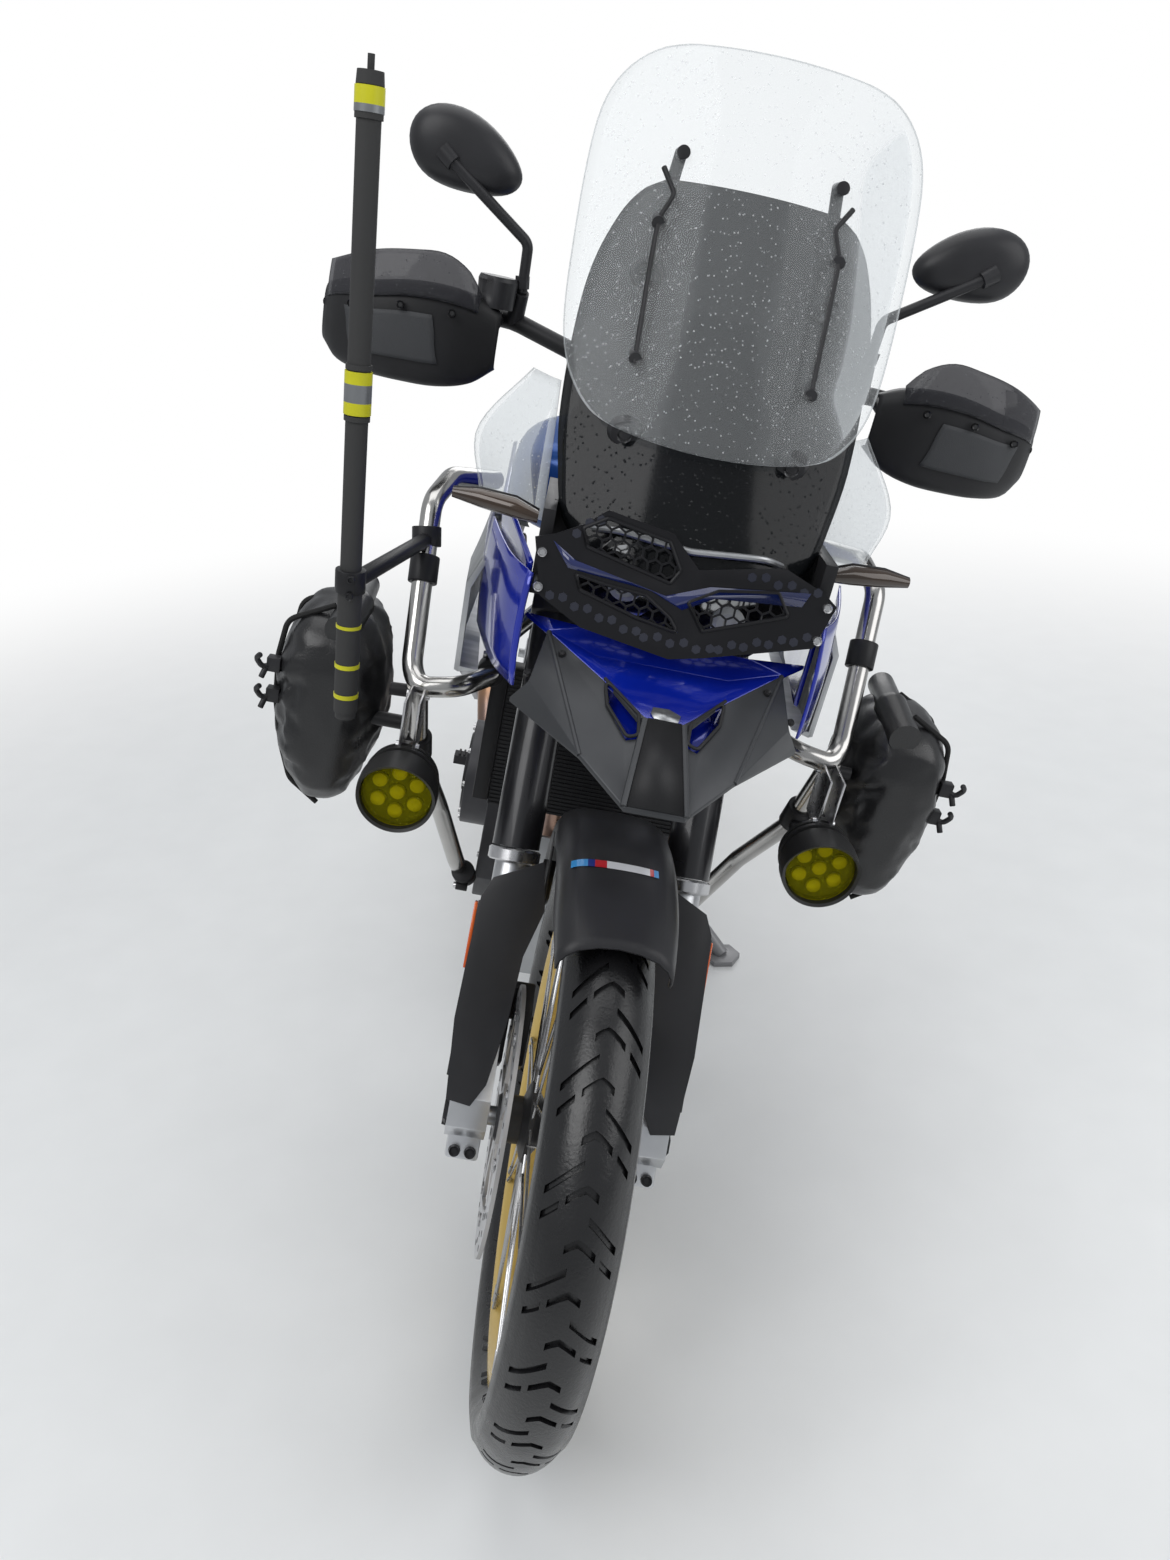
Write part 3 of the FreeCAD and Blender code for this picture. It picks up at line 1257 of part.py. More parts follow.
def front_end():
    """Headlight, its guard, the bracket that carries the front, the dash and the indicators."""
    node("headlight", sectioned("headlight_body", "lamp_unit"))
    guard = body("headlight_guard_body")
    half = S.guard_plate / 2
    pad(guard, "guard_plate", "XY_Plane", (GUARD_CORNERS,), -half, half)
    for place, window in enumerate(GUARD_WINDOWS):
        cut(guard, f"guard_window_{place}", "XY_Plane", (window,), -half, half)
    DOCUMENT.recompute()
    plate = shaped("guard_with_mesh", guard.Shape.fuse([honeycomb(window) for window in GUARD_WINDOWS]))
    plate.Placement = Placement(Vector(0, 35, 984), Rotation(Vector(1, 0, 0), 78.7))
    posts = []
    for place, (across, back, up) in enumerate(((-136, 37, 998), (136, 37, 998), (-134, 31, 967), (134, 31, 967))):
        posts.append(rod(f"guard_post_{place}", 5, S.arm_front - S.seat_gap - back, (across, back, up), "Y"))
    node("headlight_guard", joined("headlight_guard_form", plate, *posts))
    face = CELLS["lamp_unit_rear_back"] + S.seat_gap
    plate = block("bracket_plate", (-110, 110), (face, S.bracket_back), (940, 1112))
    keel = block("bracket_keel", (-40, 40), (face, S.bracket_back), (866, 950))
    bridge = block("bracket_bridge", (-S.arm_outer, S.arm_outer), (face + 4, S.bracket_back), (950, 1032))
    arms = [block("bracket_arm_left", (S.arm_outer - 12, S.arm_outer), (S.arm_front, S.bracket_back), (950, 1032)),
            block("bracket_arm_right", (-S.arm_outer, 12 - S.arm_outer), (S.arm_front, S.bracket_back), (950, 1032))]
    solid = joined("bracket_solid", plate, keel, bridge, *arms)
    main = screen("windscreen_main", MAIN_SCREEN)
    slider = screen("windscreen_slider", SLIDER)
    DOCUMENT.recompute()
    pegs = []
    for route in (((78, 198, 1100), (80.5, 92, 1107.5)),
                  ((84, 198, 1095), (88, 206, 1240), (90.5, 150, 1240)),
                  ((88, 206, 1236), (76, 216, 1345), (75, 180, 1345))):
        pegs += [tube(points(*way), 6) for way in both_sides(route)]
    shape = seated(solid.Shape.fuse(pegs), main.Shape, slider.Shape)
    node("screen_bracket", shaped("screen_bracket_form", largest(shape)))
    node("windscreen_main", main)
    node("windscreen_slider", slider)
    dash = block("dash", (-82, 82), (290, 312), (1100, 1210))
    dash_arm = block("dash_arm", (-20, 20), (S.bracket_back + S.seat_gap, 291), (1086, 1108))
    node("instrument_panel", joined("instrument_panel_form", dash, dash_arm))
    inner = S.arm_outer + S.seat_gap
    deflector = body("deflector")
    loft(deflector, "deflector_form", "XY_Plane", (
        (1000, ((inner, 140), (206, 226), (202, 229), (inner, 146))),
        (1130, ((150, 190), (172, 236), (168, 238), (146, 193))),
    ))
    node("side_deflectors", pair("deflector_pair", deflector))
    lens = body("indicator")
    loft(lens, "indicator_form", "YZ_Plane", (
        (inner, ((98, 1012), (118, 1012), (118, 1024), (98, 1024))),
        (178, ((98, 1004), (134, 1004), (134, 1028), (98, 1028))),
        (236, ((120, 1008), (134, 1008), (134, 1022), (120, 1022))),
    ))
    node("indicators", pair("indicator_pair", lens))


# The two screens. Columns of each row: up, half width and back of the flat, and of the edge
MAIN_SCREEN = ((1000, 70, 46, 128, 88), (1107, 84, 91, 146, 140), (1237, 84, 150, 140, 200), (1322, 60, 186, 96, 208))
SLIDER = ((1110, 70, 78, 128, 112), (1180, 84, 110, 160, 166), (1360, 84, 186, 160, 238), (1432, 60, 214, 98, 232))


def screen(name, rows):
    """A folded sheet through rows of chords."""
    sections = []
    for up, flat_half, flat, edge_half, edge in rows:
        front = ((-edge_half, edge), (-flat_half, flat), (flat_half, flat), (edge_half, edge))
        back = tuple((across, place + S.screen_sheet) for across, place in reversed(front))
        sections.append((up, front + back))
    owner = body(f"{name}_body")
    loft(owner, f"{name}_form", "XY_Plane", sections)
    return owner


# The left crash bar's tubes: across, back, up
UPPER_BAR = ((96.8, 640, 815), (96.8, 570, 805), (168, 440, 760), (172, 300, 762), (205, 240, 764), (250, 240, 756),
             (264, 262, 770), (276, 360, 945), (262, 420, 965), (214.2, 520, 950))
LOWER_BAR = ((252, 243, 757), (245, 300, 640), (215, 395, 520), (180, 452, 400), (162.8, 545, 315), (162.8, 575, 300))


# The camera pole's foot and top: across, back, up
POLE = ((-312, 120, 757), (-349, 120, 1348))
RACK_TOP = Vector(0, 1545, 981)


def accessories():
    """Crash bars, lamps, bags, pole, rack and pegs."""
    left, right = both_sides(UPPER_BAR)
    left_low, right_low = both_sides(LOWER_BAR)
    bars = (tube_set("crash_bar_left", S.crash_tube_radius, left, left_low),
            tube_set("crash_bar_right", S.crash_tube_radius, right, right_low))
    node("crash_bars", grouped("crash_bar_pair", *bars))
    around = [tube(points(*route), S.crash_tube_radius + S.seat_gap)
              for route in both_sides(UPPER_BAR) + both_sides(LOWER_BAR)]
    lamp = Part.makeCylinder(number(S.lamp_radius), number(S.lamp_depth), lamp_spot(), Vector(0, 1, 0))
    arm = Part.makeBox(16, 82, 90, lamp_spot() + Vector(-8, 32, 12))
    lamp = seated(lamp.fuse(arm), *around)
    node("aux_lamps", pair("lamp_pair", shaped("lamp_left", largest(lamp))))
    bags = []
    for name, across in (("bag_left", S.bag_left_at), ("bag_right", -S.bag_right_at)):
        bag = body(name)
        loft(bag, f"{name}_form", "XZ_Plane", [(row.back, six_sided(row, across)) for row in section_rows("side_bag")])
        DOCUMENT.recompute()
        strap = tube(points((math.copysign(250, number(across)), 276, 690), (across, 276, 690)), 9)
        bags.append(shaped(f"{name}_whole", largest(seated(bag.Shape.fuse(strap), *around))))
    node("side_bags", grouped("side_bag_pair", *bags))
    foot, top = points(*POLE)
    way = (top - foot).normalize()
    stud = Part.makeCylinder(number(S.pole_stud_radius), number(S.pole_stud_length), top, way)
    clamp = tube(points((-321, 120, 905), (-273.3, 338, 905)), 9)
    pole = seated(tube([foot, top], S.pole_radius).fuse([stud, clamp]), *around)
    node("camera_pole", shaped("camera_pole_form", largest(pole)))
    routes = (((-90, 1330, 972), (-90, 1620, 972), (90, 1620, 972), (90, 1330, 972)), ((-90, 1480, 972), (90, 1480, 972)),
              ((-90, 1545, 972), (-70, 1514, 861)), ((90, 1545, 972), (70, 1514, 861)))
    rack = [tube(points(*route), 7) for route in routes]
    plate = Part.makeBox(150, 150, 5, RACK_TOP - Vector(75, 75, 5))
    rails = [tube(points(*route), S.tube_radius + S.seat_gap) for route in both_sides(RAIL)]
    whole = seated(rack[0].fuse(rack[1:] + [plate]), *rails)
    node("rear_rack", shaped("rear_rack_form", largest(whole)))
    start = S.spar_at + S.spar_wall + S.seat_gap
    peg = rod("peg", 12, 235 - start, (start, 985, 308), "X")
    node("footpegs", pair("footpeg_pair", peg))


def lamp_spot():
    """The middle of the left lamp's glass."""
    return Vector(number(S.lamp_at_side), number(S.lamp_at_back), number(S.lamp_at_height))


def side_stand():
    """A leg from an eye about the frame's pin to a hexagonal foot flat on the ground."""
    pivot, foot, down, pin = stand_line()
    half = number(S.stand_eye_half)
    eye = Part.makeCylinder(number(S.stand_eye_radius), 2 * half, pivot - pin * half, pin)
    bore = Part.makeCylinder(number(S.stand_pin_radius + S.seat_gap), 4 * half, pivot - pin * (2 * half), pin)
    leg = Part.makeCylinder(number(S.stand_leg_radius), (foot - pivot).Length, pivot, down)
    middle = stand_foot()
    corners = [middle + Vector(math.cos(turn), math.sin(turn), 0) * number(S.foot_radius)
               for turn in (math.radians(60 * place) for place in range(6))]
    plate = Part.Face(Part.makePolygon(corners + corners[:1])).extrude(Vector(0, 0, number(S.foot_wall)))
    plate.Placement = STANCE.inverse()
    node("side_stand", shaped("side_stand_form", leg.fuse([eye, plate]).cut(bore)))


def export():
    """Check every object, then write one STEP file for each sub-part."""
    DOCUMENT.recompute()
    for item in DOCUMENT.Objects:
        if {"Invalid", "Error"} & set(item.State):
            raise RuntimeError(f"{item.Label} failed: {item.State}")
    os.makedirs("parts", exist_ok=True)
    box = FreeCAD.BoundBox()
    for item in NODES:
        if item.Shape.isNull() or not item.Shape.isValid():
            raise RuntimeError(f"{item.Label} has no valid shape")
        item.Shape.exportStep(f"parts/{item.Label}.step")
        box.add(item.Shape.BoundBox)
        print(f"{item.Label:22s} solids {len(item.Shape.Solids):2d} faces {len(item.Shape.Faces):4d} "
              f"volume {item.Shape.Volume / 1000:9.1f} cm3")
    print(f"nodes {len(NODES)} box {box}")


def report_places():
    """Print the places and directions of the joints and mounts, in the parked frame."""
    axis = FORK.Rotation.multVec(Vector(0, 0, 1))
    across = STANCE.Rotation.multVec(Vector(1, 0, 0))
    print("steering point", FORK.multVec(Vector(0, 0, 1060)), "axis", axis)
    print("front axle", FRONT_AXLE.Base, "rear axle", REAR_AXLE.Base, "axis", across)
    pivot, foot, down, pin = stand_line()
    turn = math.degrees(down.getAngle(FOLDED))
    print("stand pivot", STANCE.multVec(pivot), "axis", STANCE.Rotation.multVec(pin), "folds by", turn)
    bottom, top = points(*POLE)
    for name, spot, way in (("pole_top", top, top - bottom), ("rack_top", RACK_TOP, Vector(0, 0, 1))):
        place = STANCE.multVec(spot)
        axis = STANCE.Rotation.multVec(way).normalize()
        print("mount", name, *place, *axis)
    print("mount", "stand_foot", *stand_foot())
    for side in (1, -1):
        spot = REAR_AXLE.multVec(Vector(side * number(S.arm_inner + S.arm_wall + 7.5), 0, 0))
        print("mount", "rear_axle_end", *spot, *(across * side))


def main():
    """Build every sub-part and write it."""
    wheels()
    fork()
    fork_guard()
    front_fender()
    calipers()
    handlebar()
    grips()
    handguards()
    mirrors()
    main_frame()
    rear_subframe()
    engine()
    radiator()
    exhaust()
    skid_plate()
    swingarm()
    rear_shock()
    drive_chain()
    rear_caliper()
    bodywork()
    front_end()
    accessories()
    side_stand()
    export()
    report_places()


main()
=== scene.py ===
"""Looks of an adventure motorcycle that leans on its side stand.

Sizes are millimetres in each sub-assembly's own upright frame: X to the rider's left,
Y to the rear, Z up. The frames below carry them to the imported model's frame in metres.
"""

import logging
import math
from dataclasses import dataclass
from enum import Enum
from typing import Callable, Sequence

import bmesh
import bpy
from bmesh.types import BMesh, BMFace, BMVert
from bpy.types import Material, Node, NodeSocket, NodeTree, Object
from mathutils import Matrix, Vector


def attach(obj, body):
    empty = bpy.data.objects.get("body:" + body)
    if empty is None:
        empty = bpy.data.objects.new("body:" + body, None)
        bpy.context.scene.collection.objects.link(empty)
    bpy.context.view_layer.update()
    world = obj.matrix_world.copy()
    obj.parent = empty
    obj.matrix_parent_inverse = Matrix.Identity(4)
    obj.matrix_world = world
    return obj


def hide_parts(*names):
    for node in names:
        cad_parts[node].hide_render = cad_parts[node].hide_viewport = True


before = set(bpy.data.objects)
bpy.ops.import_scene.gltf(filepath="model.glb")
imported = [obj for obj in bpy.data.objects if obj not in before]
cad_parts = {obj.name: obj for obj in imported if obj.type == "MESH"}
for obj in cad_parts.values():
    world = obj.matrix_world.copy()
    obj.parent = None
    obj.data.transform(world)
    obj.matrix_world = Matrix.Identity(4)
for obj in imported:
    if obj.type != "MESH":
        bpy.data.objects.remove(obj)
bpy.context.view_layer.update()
LOG = logging.getLogger("motorcycle")

Row = tuple[float, float, float]
Colour = tuple[float, float, float]
Spot = Row | Vector
Table = Sequence[tuple[float, ...]]
Feed = dict[str | int, object]

MM = 0.001
SIDES = (-1, 1)
LEAN = math.radians(13.02)
RAKE = math.radians(28.0)
STANCE = Matrix.Translation((-0.21435, -0.7835, 0.0)) @ Matrix.Rotation(LEAN, 4, "Y")
FORK = STANCE @ Matrix.Translation((0.0, -0.1046, 0.0)) @ Matrix.Rotation(-RAKE, 4, "X")
BAR = FORK @ Matrix.Translation((0.0, -0.010, 1.260)) @ Matrix.Rotation(RAKE, 4, "X")
FRONT_AXLE = STANCE @ Matrix.Translation((0.0, 0.0, 0.347))
REAR_AXLE = STANCE @ Matrix.Translation((0.0, 1.593, 0.321))
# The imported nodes' own frame, in metres
PACKED = Matrix.Identity(4)


class Body(Enum):
    """The moving bodies of the machine."""

    ROOT = "root"
    STEERING = "steering"
    FRONT_WHEEL = "front_wheel"
    REAR_WHEEL = "rear_wheel"
    STAND = "side_stand"


@dataclass(frozen=True)
class Seat:
    """A frame that sizes are given in, and the body that carries it."""

    place: Matrix
    body: Body


BASE = Seat(STANCE, Body.ROOT)
FORKS = Seat(FORK, Body.STEERING)
BARS = Seat(BAR, Body.STEERING)
FRONT_HUB = Seat(FRONT_AXLE, Body.FRONT_WHEEL)
REAR_HUB = Seat(REAR_AXLE, Body.REAR_WHEEL)


@dataclass(frozen=True)
class Graph:
    """The node tree of a material or of the world."""

    tree: NodeTree

    def feed(self, node: Node, inputs: Feed) -> None:
        """Give a node its inputs: a value each, or the socket that it is linked to."""
        for key, given in inputs.items():
            if isinstance(given, NodeSocket):
                self.tree.links.new(given, node.inputs[key])
            else:
                node.inputs[key].default_value = given

    def add(
            self, kind: str, inputs: Feed | None = None, mode: str = "",
            output: str | int = 0) -> NodeSocket:
        """Make a node.

        Args:
            kind: its type, without the leading ShaderNode.
            inputs: its inputs, as for feed.
            mode: its operation.
            output: the socket that is wanted of it.

        Returns:
            That socket.
        """
        node = self.tree.nodes.new(f"ShaderNode{kind}")
        if mode:
            node.operation = mode
        self.feed(node, inputs or {})
        return node.outputs[output]

    def noise(self, turn: NodeSocket, scale: float, detail: float) -> NodeSocket:
        """Noise at a scale."""
        return self.add("TexNoise", {"Vector": turn, "Scale": scale, "Detail": detail})

    def bump(self, height: NodeSocket, distance: float, strength: float = 1.0) -> NodeSocket:
        """Normals of a surface that is raised by a height."""
        return self.add(
            "Bump", {"Height": height, "Distance": distance, "Strength": strength}, output="Normal")


# Scale and detail of the noise behind colour patches and roughness, and where a patch starts and ends
PATCHES, SMEARS, PATCH_EDGES = (9.0, 4.0), (42.0, 6.0), (0.35, 0.68)
# How much darker a patch is where a finish names no shade
DARKER = 0.82
# Drops of water: cells to a metre, a drop's share of its cell, dry share of the cells, height in
# metres, and how opaque a drop turns, which paints its glint as a speck
DROP_SCALE, DROP_REACH, DROP_SHARE, DROP_HEIGHT, DROP_GLINT = 210.0, 0.26, 0.50, 0.0012, 0.50


class Surface(Enum):
    """What a finish is made of, which picks its shader."""

    SOLID = "solid"
    SHEET_GLASS = "sheet_glass"


@dataclass(frozen=True)
class Finish:
    """One finish of the machine.

    Args:
        name: plain name of the finish.
        slot: material slot of the record that it belongs to; not used.
        colour: its colour, linear red, green and blue.
        shade: the colour of its darker patches.
        metallic: 1 for bare metal.
        rough: its middle roughness.
        vary: how far its roughness wanders.
        grain: size of its surface grain in metres.
        relief: height of that grain in metres.
        stretch: how much the grain is drawn out along each axis.
        coat: weight of a clear coat.
        surface: what it is made of.
        clear: how much light passes a glass.
    """

    name: str
    slot: str
    colour: Colour
    shade: Colour | None = None
    metallic: float = 0.0
    rough: float = 0.4
    vary: float = 0.08
    grain: float = 0.002
    relief: float = 0.0
    stretch: Row = (1.0, 1.0, 1.0)
    coat: float = 0.0
    surface: Surface = Surface.SOLID
    clear: float = 0.0

    def material(self) -> Material:
        """The finish as a material, made once."""
        made = bpy.data.materials.get(self.name)
        if made:
            return made
        made = bpy.data.materials.new(self.name)
        made.use_nodes = True
        graph = Graph(made.node_tree)
        shader = graph.tree.nodes["Principled BSDF"]
        turn = graph.add(
            "Mapping", {"Vector": graph.add("TexCoord", output="Object"), "Scale": self.stretch})
        patches = graph.add("ValToRGB", {"Fac": graph.noise(turn, *PATCHES)})
        dark = self.shade or tuple(part * DARKER for part in self.colour)
        for stop, at, colour in zip(patches.node.color_ramp.elements, PATCH_EDGES, (dark, self.colour)):
            stop.position, stop.color = at, (*colour, 1.0)
        smear = graph.add(
            "MapRange", {"Value": graph.noise(turn, *SMEARS),
            "To Min": max(self.rough - self.vary, 0.02), "To Max": min(self.rough + self.vary, 1.0)})
        graph.feed(
            shader, {"Base Color": patches, "Roughness": smear, "Metallic": self.metallic,
            "Coat Weight": self.coat, "Coat Roughness": 0.06,
            "Specular IOR Level": 0.5 if self.coat or self.metallic > 0.5 else 0.28})
        if self.relief:
            graph.feed(
                shader, {"Normal": graph.bump(graph.noise(turn, 1.0 / self.grain, 3.0), self.relief)})
        if self.surface is Surface.SHEET_GLASS:
            self.glass(graph, shader, turn)
        return made

    def glass(self, graph: Graph, shader: Node, turn: NodeSocket) -> None:
        """A thin sheet that light passes straight through, with small drops of water on it."""
        distance = graph.add("TexVoronoi", {"Vector": turn, "Scale": DROP_SCALE}, output="Distance")
        dome = graph.add(
            "MapRange", {"Value": distance, "From Max": DROP_REACH, "To Min": 1.0, "To Max": 0.0})
        some = graph.add("Math", {0: distance.node.outputs["Color"], 1: DROP_SHARE}, "GREATER_THAN")
        wet = graph.add("Math", {0: some, 1: dome}, "MULTIPLY")
        normal = graph.bump(wet, DROP_HEIGHT, 0.7)
        graph.feed(shader, {"Coat Normal": normal, "Normal": normal})
        through = graph.add(
            "BsdfTransparent", {"Color": (*(0.35 + 0.65 * part for part in self.colour), 1.0)})
        share = graph.add(
            "MapRange", {"Value": graph.add("LayerWeight", {"Blend": 0.35}, output="Fresnel"),
            "To Min": 1.0 - self.clear, "To Max": min(1.0, 1.45 - self.clear)})
        # Drops turn partly opaque in the sheet's own shader colour: a painted glint on top of their
        # real bumps.
        specks = graph.add("Math", {0: wet, 1: DROP_GLINT, 2: share}, "MULTIPLY_ADD")
        mix = graph.add("MixShader", {"Fac": specks, 1: through, 2: shader.outputs["BSDF"]})
        graph.feed(graph.tree.nodes["Material Output"], {"Surface": mix})


# Finishes: name, slot, colour, then what makes each one its own
TYRE = Finish(
    "wet_tyre_rubber", "tyre_rubber", (0.010, 0.010, 0.011), rough=0.29, vary=0.16, grain=0.003,
    relief=0.0003, coat=0.05)
GOLD = Finish(
    "gold_rim", "gold_rim", (0.72, 0.43, 0.07), (0.60, 0.34, 0.05), 0.85, 0.3, grain=0.001,
    relief=0.00002)
SPOKE = Finish("spoke_steel", "wheel_silver", (0.50, 0.50, 0.51), (0.38, 0.38, 0.38), 1.0, 0.26)
HUB = Finish("hub_black", "wheel_silver", (0.05, 0.05, 0.052), None, 0.4, 0.35)
DISC = Finish(
    "disc_steel", "disc_steel", (0.24, 0.24, 0.25), (0.16, 0.16, 0.17), 1.0, 0.36, grain=0.0012,
    relief=0.00003, stretch=(1.0, 4.0, 4.0))
CELL = Finish("guard_cell", "guard_navy", (0.036, 0.038, 0.050), (0.022, 0.024, 0.036), 0.0, 0.3)
# Near black that fills drilled holes and slots: painted shade where light can't reach into them.
HOLE_SHADE = Finish("painted_hole_shade", "disc_steel", (0.01, 0.01, 0.01), rough=0.8)
FORK_TUBE = Finish("fork_tube_black", "fork_gold", (0.022, 0.022, 0.025), None, 0.3, 0.3, coat=0.3)
SEAL = Finish("seal_ring_silver", "fork_silver", (0.66, 0.66, 0.67), (0.45, 0.45, 0.46), 1.0, 0.26)
LEG = Finish(
    "fork_leg_silver", "fork_silver", (0.62, 0.63, 0.65), (0.46, 0.47, 0.48), 0.9, 0.34, grain=0.0015,
    relief=0.00008)
MOULDED = Finish(
    "moulded_black", "black_plastic", (0.020, 0.020, 0.022), (0.014, 0.014, 0.015), 0.0, 0.47, 0.08,
    0.0011, 0.00012)
SATIN = Finish(
    "satin_black", "black_plastic", (0.030, 0.030, 0.033), (0.022, 0.022, 0.024), 0.0, 0.38, 0.06,
    0.0014, 0.00005)
GLOSS_BLACK = Finish(
    "gloss_black", "black_plastic", (0.012, 0.012, 0.013), None, 0.0, 0.14, 0.05, coat=0.6)
GREY_BEAK = Finish(
    "beak_grey", "panel_white", (0.062, 0.064, 0.068), (0.046, 0.048, 0.052), 0.3, 0.34, 0.08, 0.0012,
    0.00006)
BLUE = Finish(
    "racing_blue", "panel_blue", (0.004, 0.022, 0.42), (0.003, 0.014, 0.30), 0.25, 0.16, 0.05, 0.0009,
    0.00001, coat=0.9)
TANK_BLUE = Finish(
    "tank_blue", "tank_blue", (0.004, 0.022, 0.42), (0.003, 0.014, 0.30), 0.25, 0.16, 0.05, coat=0.9)
BARE_SILVER = Finish(
    "brushed_panel", "plain_aluminium", (0.50, 0.51, 0.52), (0.36, 0.37, 0.38), 0.9, 0.36, 0.1, 0.0008,
    0.00004, (1.0, 8.0, 1.0))
WHITE = Finish(
    "panel_white_trim", "panel_white", (0.72, 0.73, 0.75), (0.66, 0.67, 0.69), 0.0, 0.22, coat=0.6)
METAL_BLACK = Finish(
    "powder_black", "black_metal", (0.022, 0.022, 0.024), None, 0.2, 0.42, 0.08, 0.0012, 0.00008)
RUBBER = Finish(
    "grip_rubber", "grip_rubber", (0.016, 0.016, 0.016), None, 0.0, 0.7, 0.08, 0.0012, 0.0002)
CLEAR = Finish(
    "clear_screen", "clear_glass", (0.92, 0.94, 0.95), (0.9, 0.92, 0.93), 0.0, 0.05, 0.03, coat=0.5,
    surface=Surface.SHEET_GLASS, clear=0.95)
YELLOW_GLASS = Finish(
    "yellow_glass", "lamp_black", (0.75, 0.72, 0.02), (0.7, 0.66, 0.02), 0.0, 0.04, 0.02,
    surface=Surface.SHEET_GLASS, clear=0.96)
SMOKE = Finish(
    "smoke_screen", "smoke_glass", (0.010, 0.011, 0.013), (0.008, 0.009, 0.010), 0.0, 0.12, 0.04,
    surface=Surface.SHEET_GLASS, clear=0.30)
SMOKE_TINT = Finish(
    "smoke_tint", "smoke_glass", (0.10, 0.10, 0.11), (0.08, 0.08, 0.09), 0.0, 0.08, 0.03,
    surface=Surface.SHEET_GLASS, clear=0.62)
AMBER_SMOKE = Finish(
    "smoked_lens", "smoke_lens", (0.050, 0.026, 0.012), (0.028, 0.017, 0.010), 0.2, 0.1, 0.03, coat=0.6)
ENGINE = Finish(
    "engine_dark", "engine_grey", (0.075, 0.075, 0.080), (0.05, 0.05, 0.054), 0.5, 0.42, 0.1, 0.0013,
    0.0001)
COPPER = Finish(
    "header_heat_tint", "header_bronze", (0.46, 0.26, 0.14), (0.24, 0.17, 0.15), 1.0, 0.3, 0.12)
STEEL = Finish(
    "silencer_steel", "silencer_steel", (0.42, 0.42, 0.44), (0.33, 0.33, 0.35), 1.0, 0.32, 0.08, 0.001,
    0.00003, (6.0, 1.0, 6.0))
ALLOY = Finish(
    "plain_alloy", "plain_aluminium", (0.52, 0.53, 0.54), (0.42, 0.43, 0.44), 0.95, 0.38, 0.1, 0.0012,
    0.00006)
CHAIN = Finish("oiled_chain", "chain_steel", (0.26, 0.23, 0.17), (0.12, 0.11, 0.09), 0.95, 0.35, 0.12)
FRAME = Finish("frame_black", "frame_black", (0.03, 0.03, 0.033), None, 0.3, 0.4, 0.08, 0.0012, 0.00008)
POLISHED = Finish(
    "polished_tube", "polished_steel", (0.56, 0.55, 0.53), (0.42, 0.41, 0.40), 1.0, 0.20, 0.06)
BRACKET = Finish("bracket_silver", "polished_steel", (0.68, 0.68, 0.69), (0.55, 0.55, 0.56), 1.0, 0.28)
LAMP_BODY = Finish("lamp_black", "lamp_black", (0.012, 0.012, 0.013), None, 0.1, 0.3, 0.06, coat=0.3)
# The bright yellow of the lamp bowls is painted highlight for the reflectors' glints, and the deep
# yellow of the plates round them is painted shade.
HIGHLIGHT_YELLOW = Finish(
    "painted_highlight_yellow", "lamp_black", (0.95, 0.88, 0.10), (0.62, 0.56, 0.03), 0.3, 0.14, 0.05, coat=0.9)
SHADE_YELLOW = Finish(
    "painted_shade_yellow", "lamp_black", (0.13, 0.13, 0.006), (0.07, 0.07, 0.004), 0.4, 0.25)
BAG = Finish(
    "bag_coated_cloth", "bag_fabric", (0.012, 0.012, 0.013), (0.008, 0.008, 0.009), 0.0, 0.32, 0.12,
    0.0018, 0.00035, coat=0.10)
STRAP = Finish(
    "webbing_black", "bag_fabric", (0.02, 0.02, 0.02), None, 0.0, 0.8, 0.05, 0.0012, 0.0004,
    (1.0, 1.0, 3.0))
POLE_BLACK = Finish(
    "pole_black", "pole_black", (0.016, 0.016, 0.017), None, 0.0, 0.42, 0.08, 0.001, 0.0001)
BAND_YELLOW = Finish("band_yellow", "pole_black", (0.62, 0.60, 0.02), (0.5, 0.48, 0.02), 0.0, 0.35)
BAND_GREY = Finish("band_grey", "pole_black", (0.25, 0.26, 0.27), None, 0.6, 0.35)
STAND_FOOT = Finish(
    "stand_steel", "stand_steel", (0.46, 0.46, 0.47), (0.3, 0.3, 0.31), 0.9, 0.4, 0.1, 0.0015, 0.0001)
VINYL = Finish(
    "seat_vinyl", "seat_vinyl", (0.020, 0.020, 0.022), (0.014, 0.014, 0.016), 0.0, 0.55, 0.08, 0.0013,
    0.00035)
VINYL_SIDE = Finish(
    "seat_side_grey", "seat_vinyl", (0.06, 0.062, 0.066), None, 0.0, 0.6, 0.06, 0.0011, 0.0003)
GUARD = Finish(
    "guard_black", "guard_navy", (0.012, 0.012, 0.014), None, 0.2, 0.34, 0.08, 0.0012, 0.00006)
NAVY = Finish(
    "guard_navy_gloss", "guard_navy", (0.006, 0.014, 0.10), (0.004, 0.01, 0.06), 0.1, 0.12, 0.04,
    coat=0.8)
REFLECTOR = Finish("lamp_reflector", "lamp_lens", (0.78, 0.78, 0.78), (0.5, 0.5, 0.5), 1.0, 0.12)
LENS = Finish(
    "lamp_lens", "lamp_lens", (0.55, 0.58, 0.60), (0.30, 0.32, 0.34), 0.2, 0.08, 0.03, coat=0.9)
ORANGE = Finish(
    "reflector_orange", "smoke_lens", (0.85, 0.16, 0.01), (0.7, 0.1, 0.01), 0.0, 0.25, coat=0.5)
RED = Finish(
    "tail_lens_red", "smoke_lens", (0.45, 0.005, 0.005), (0.3, 0.004, 0.004), 0.0, 0.14, coat=0.9)
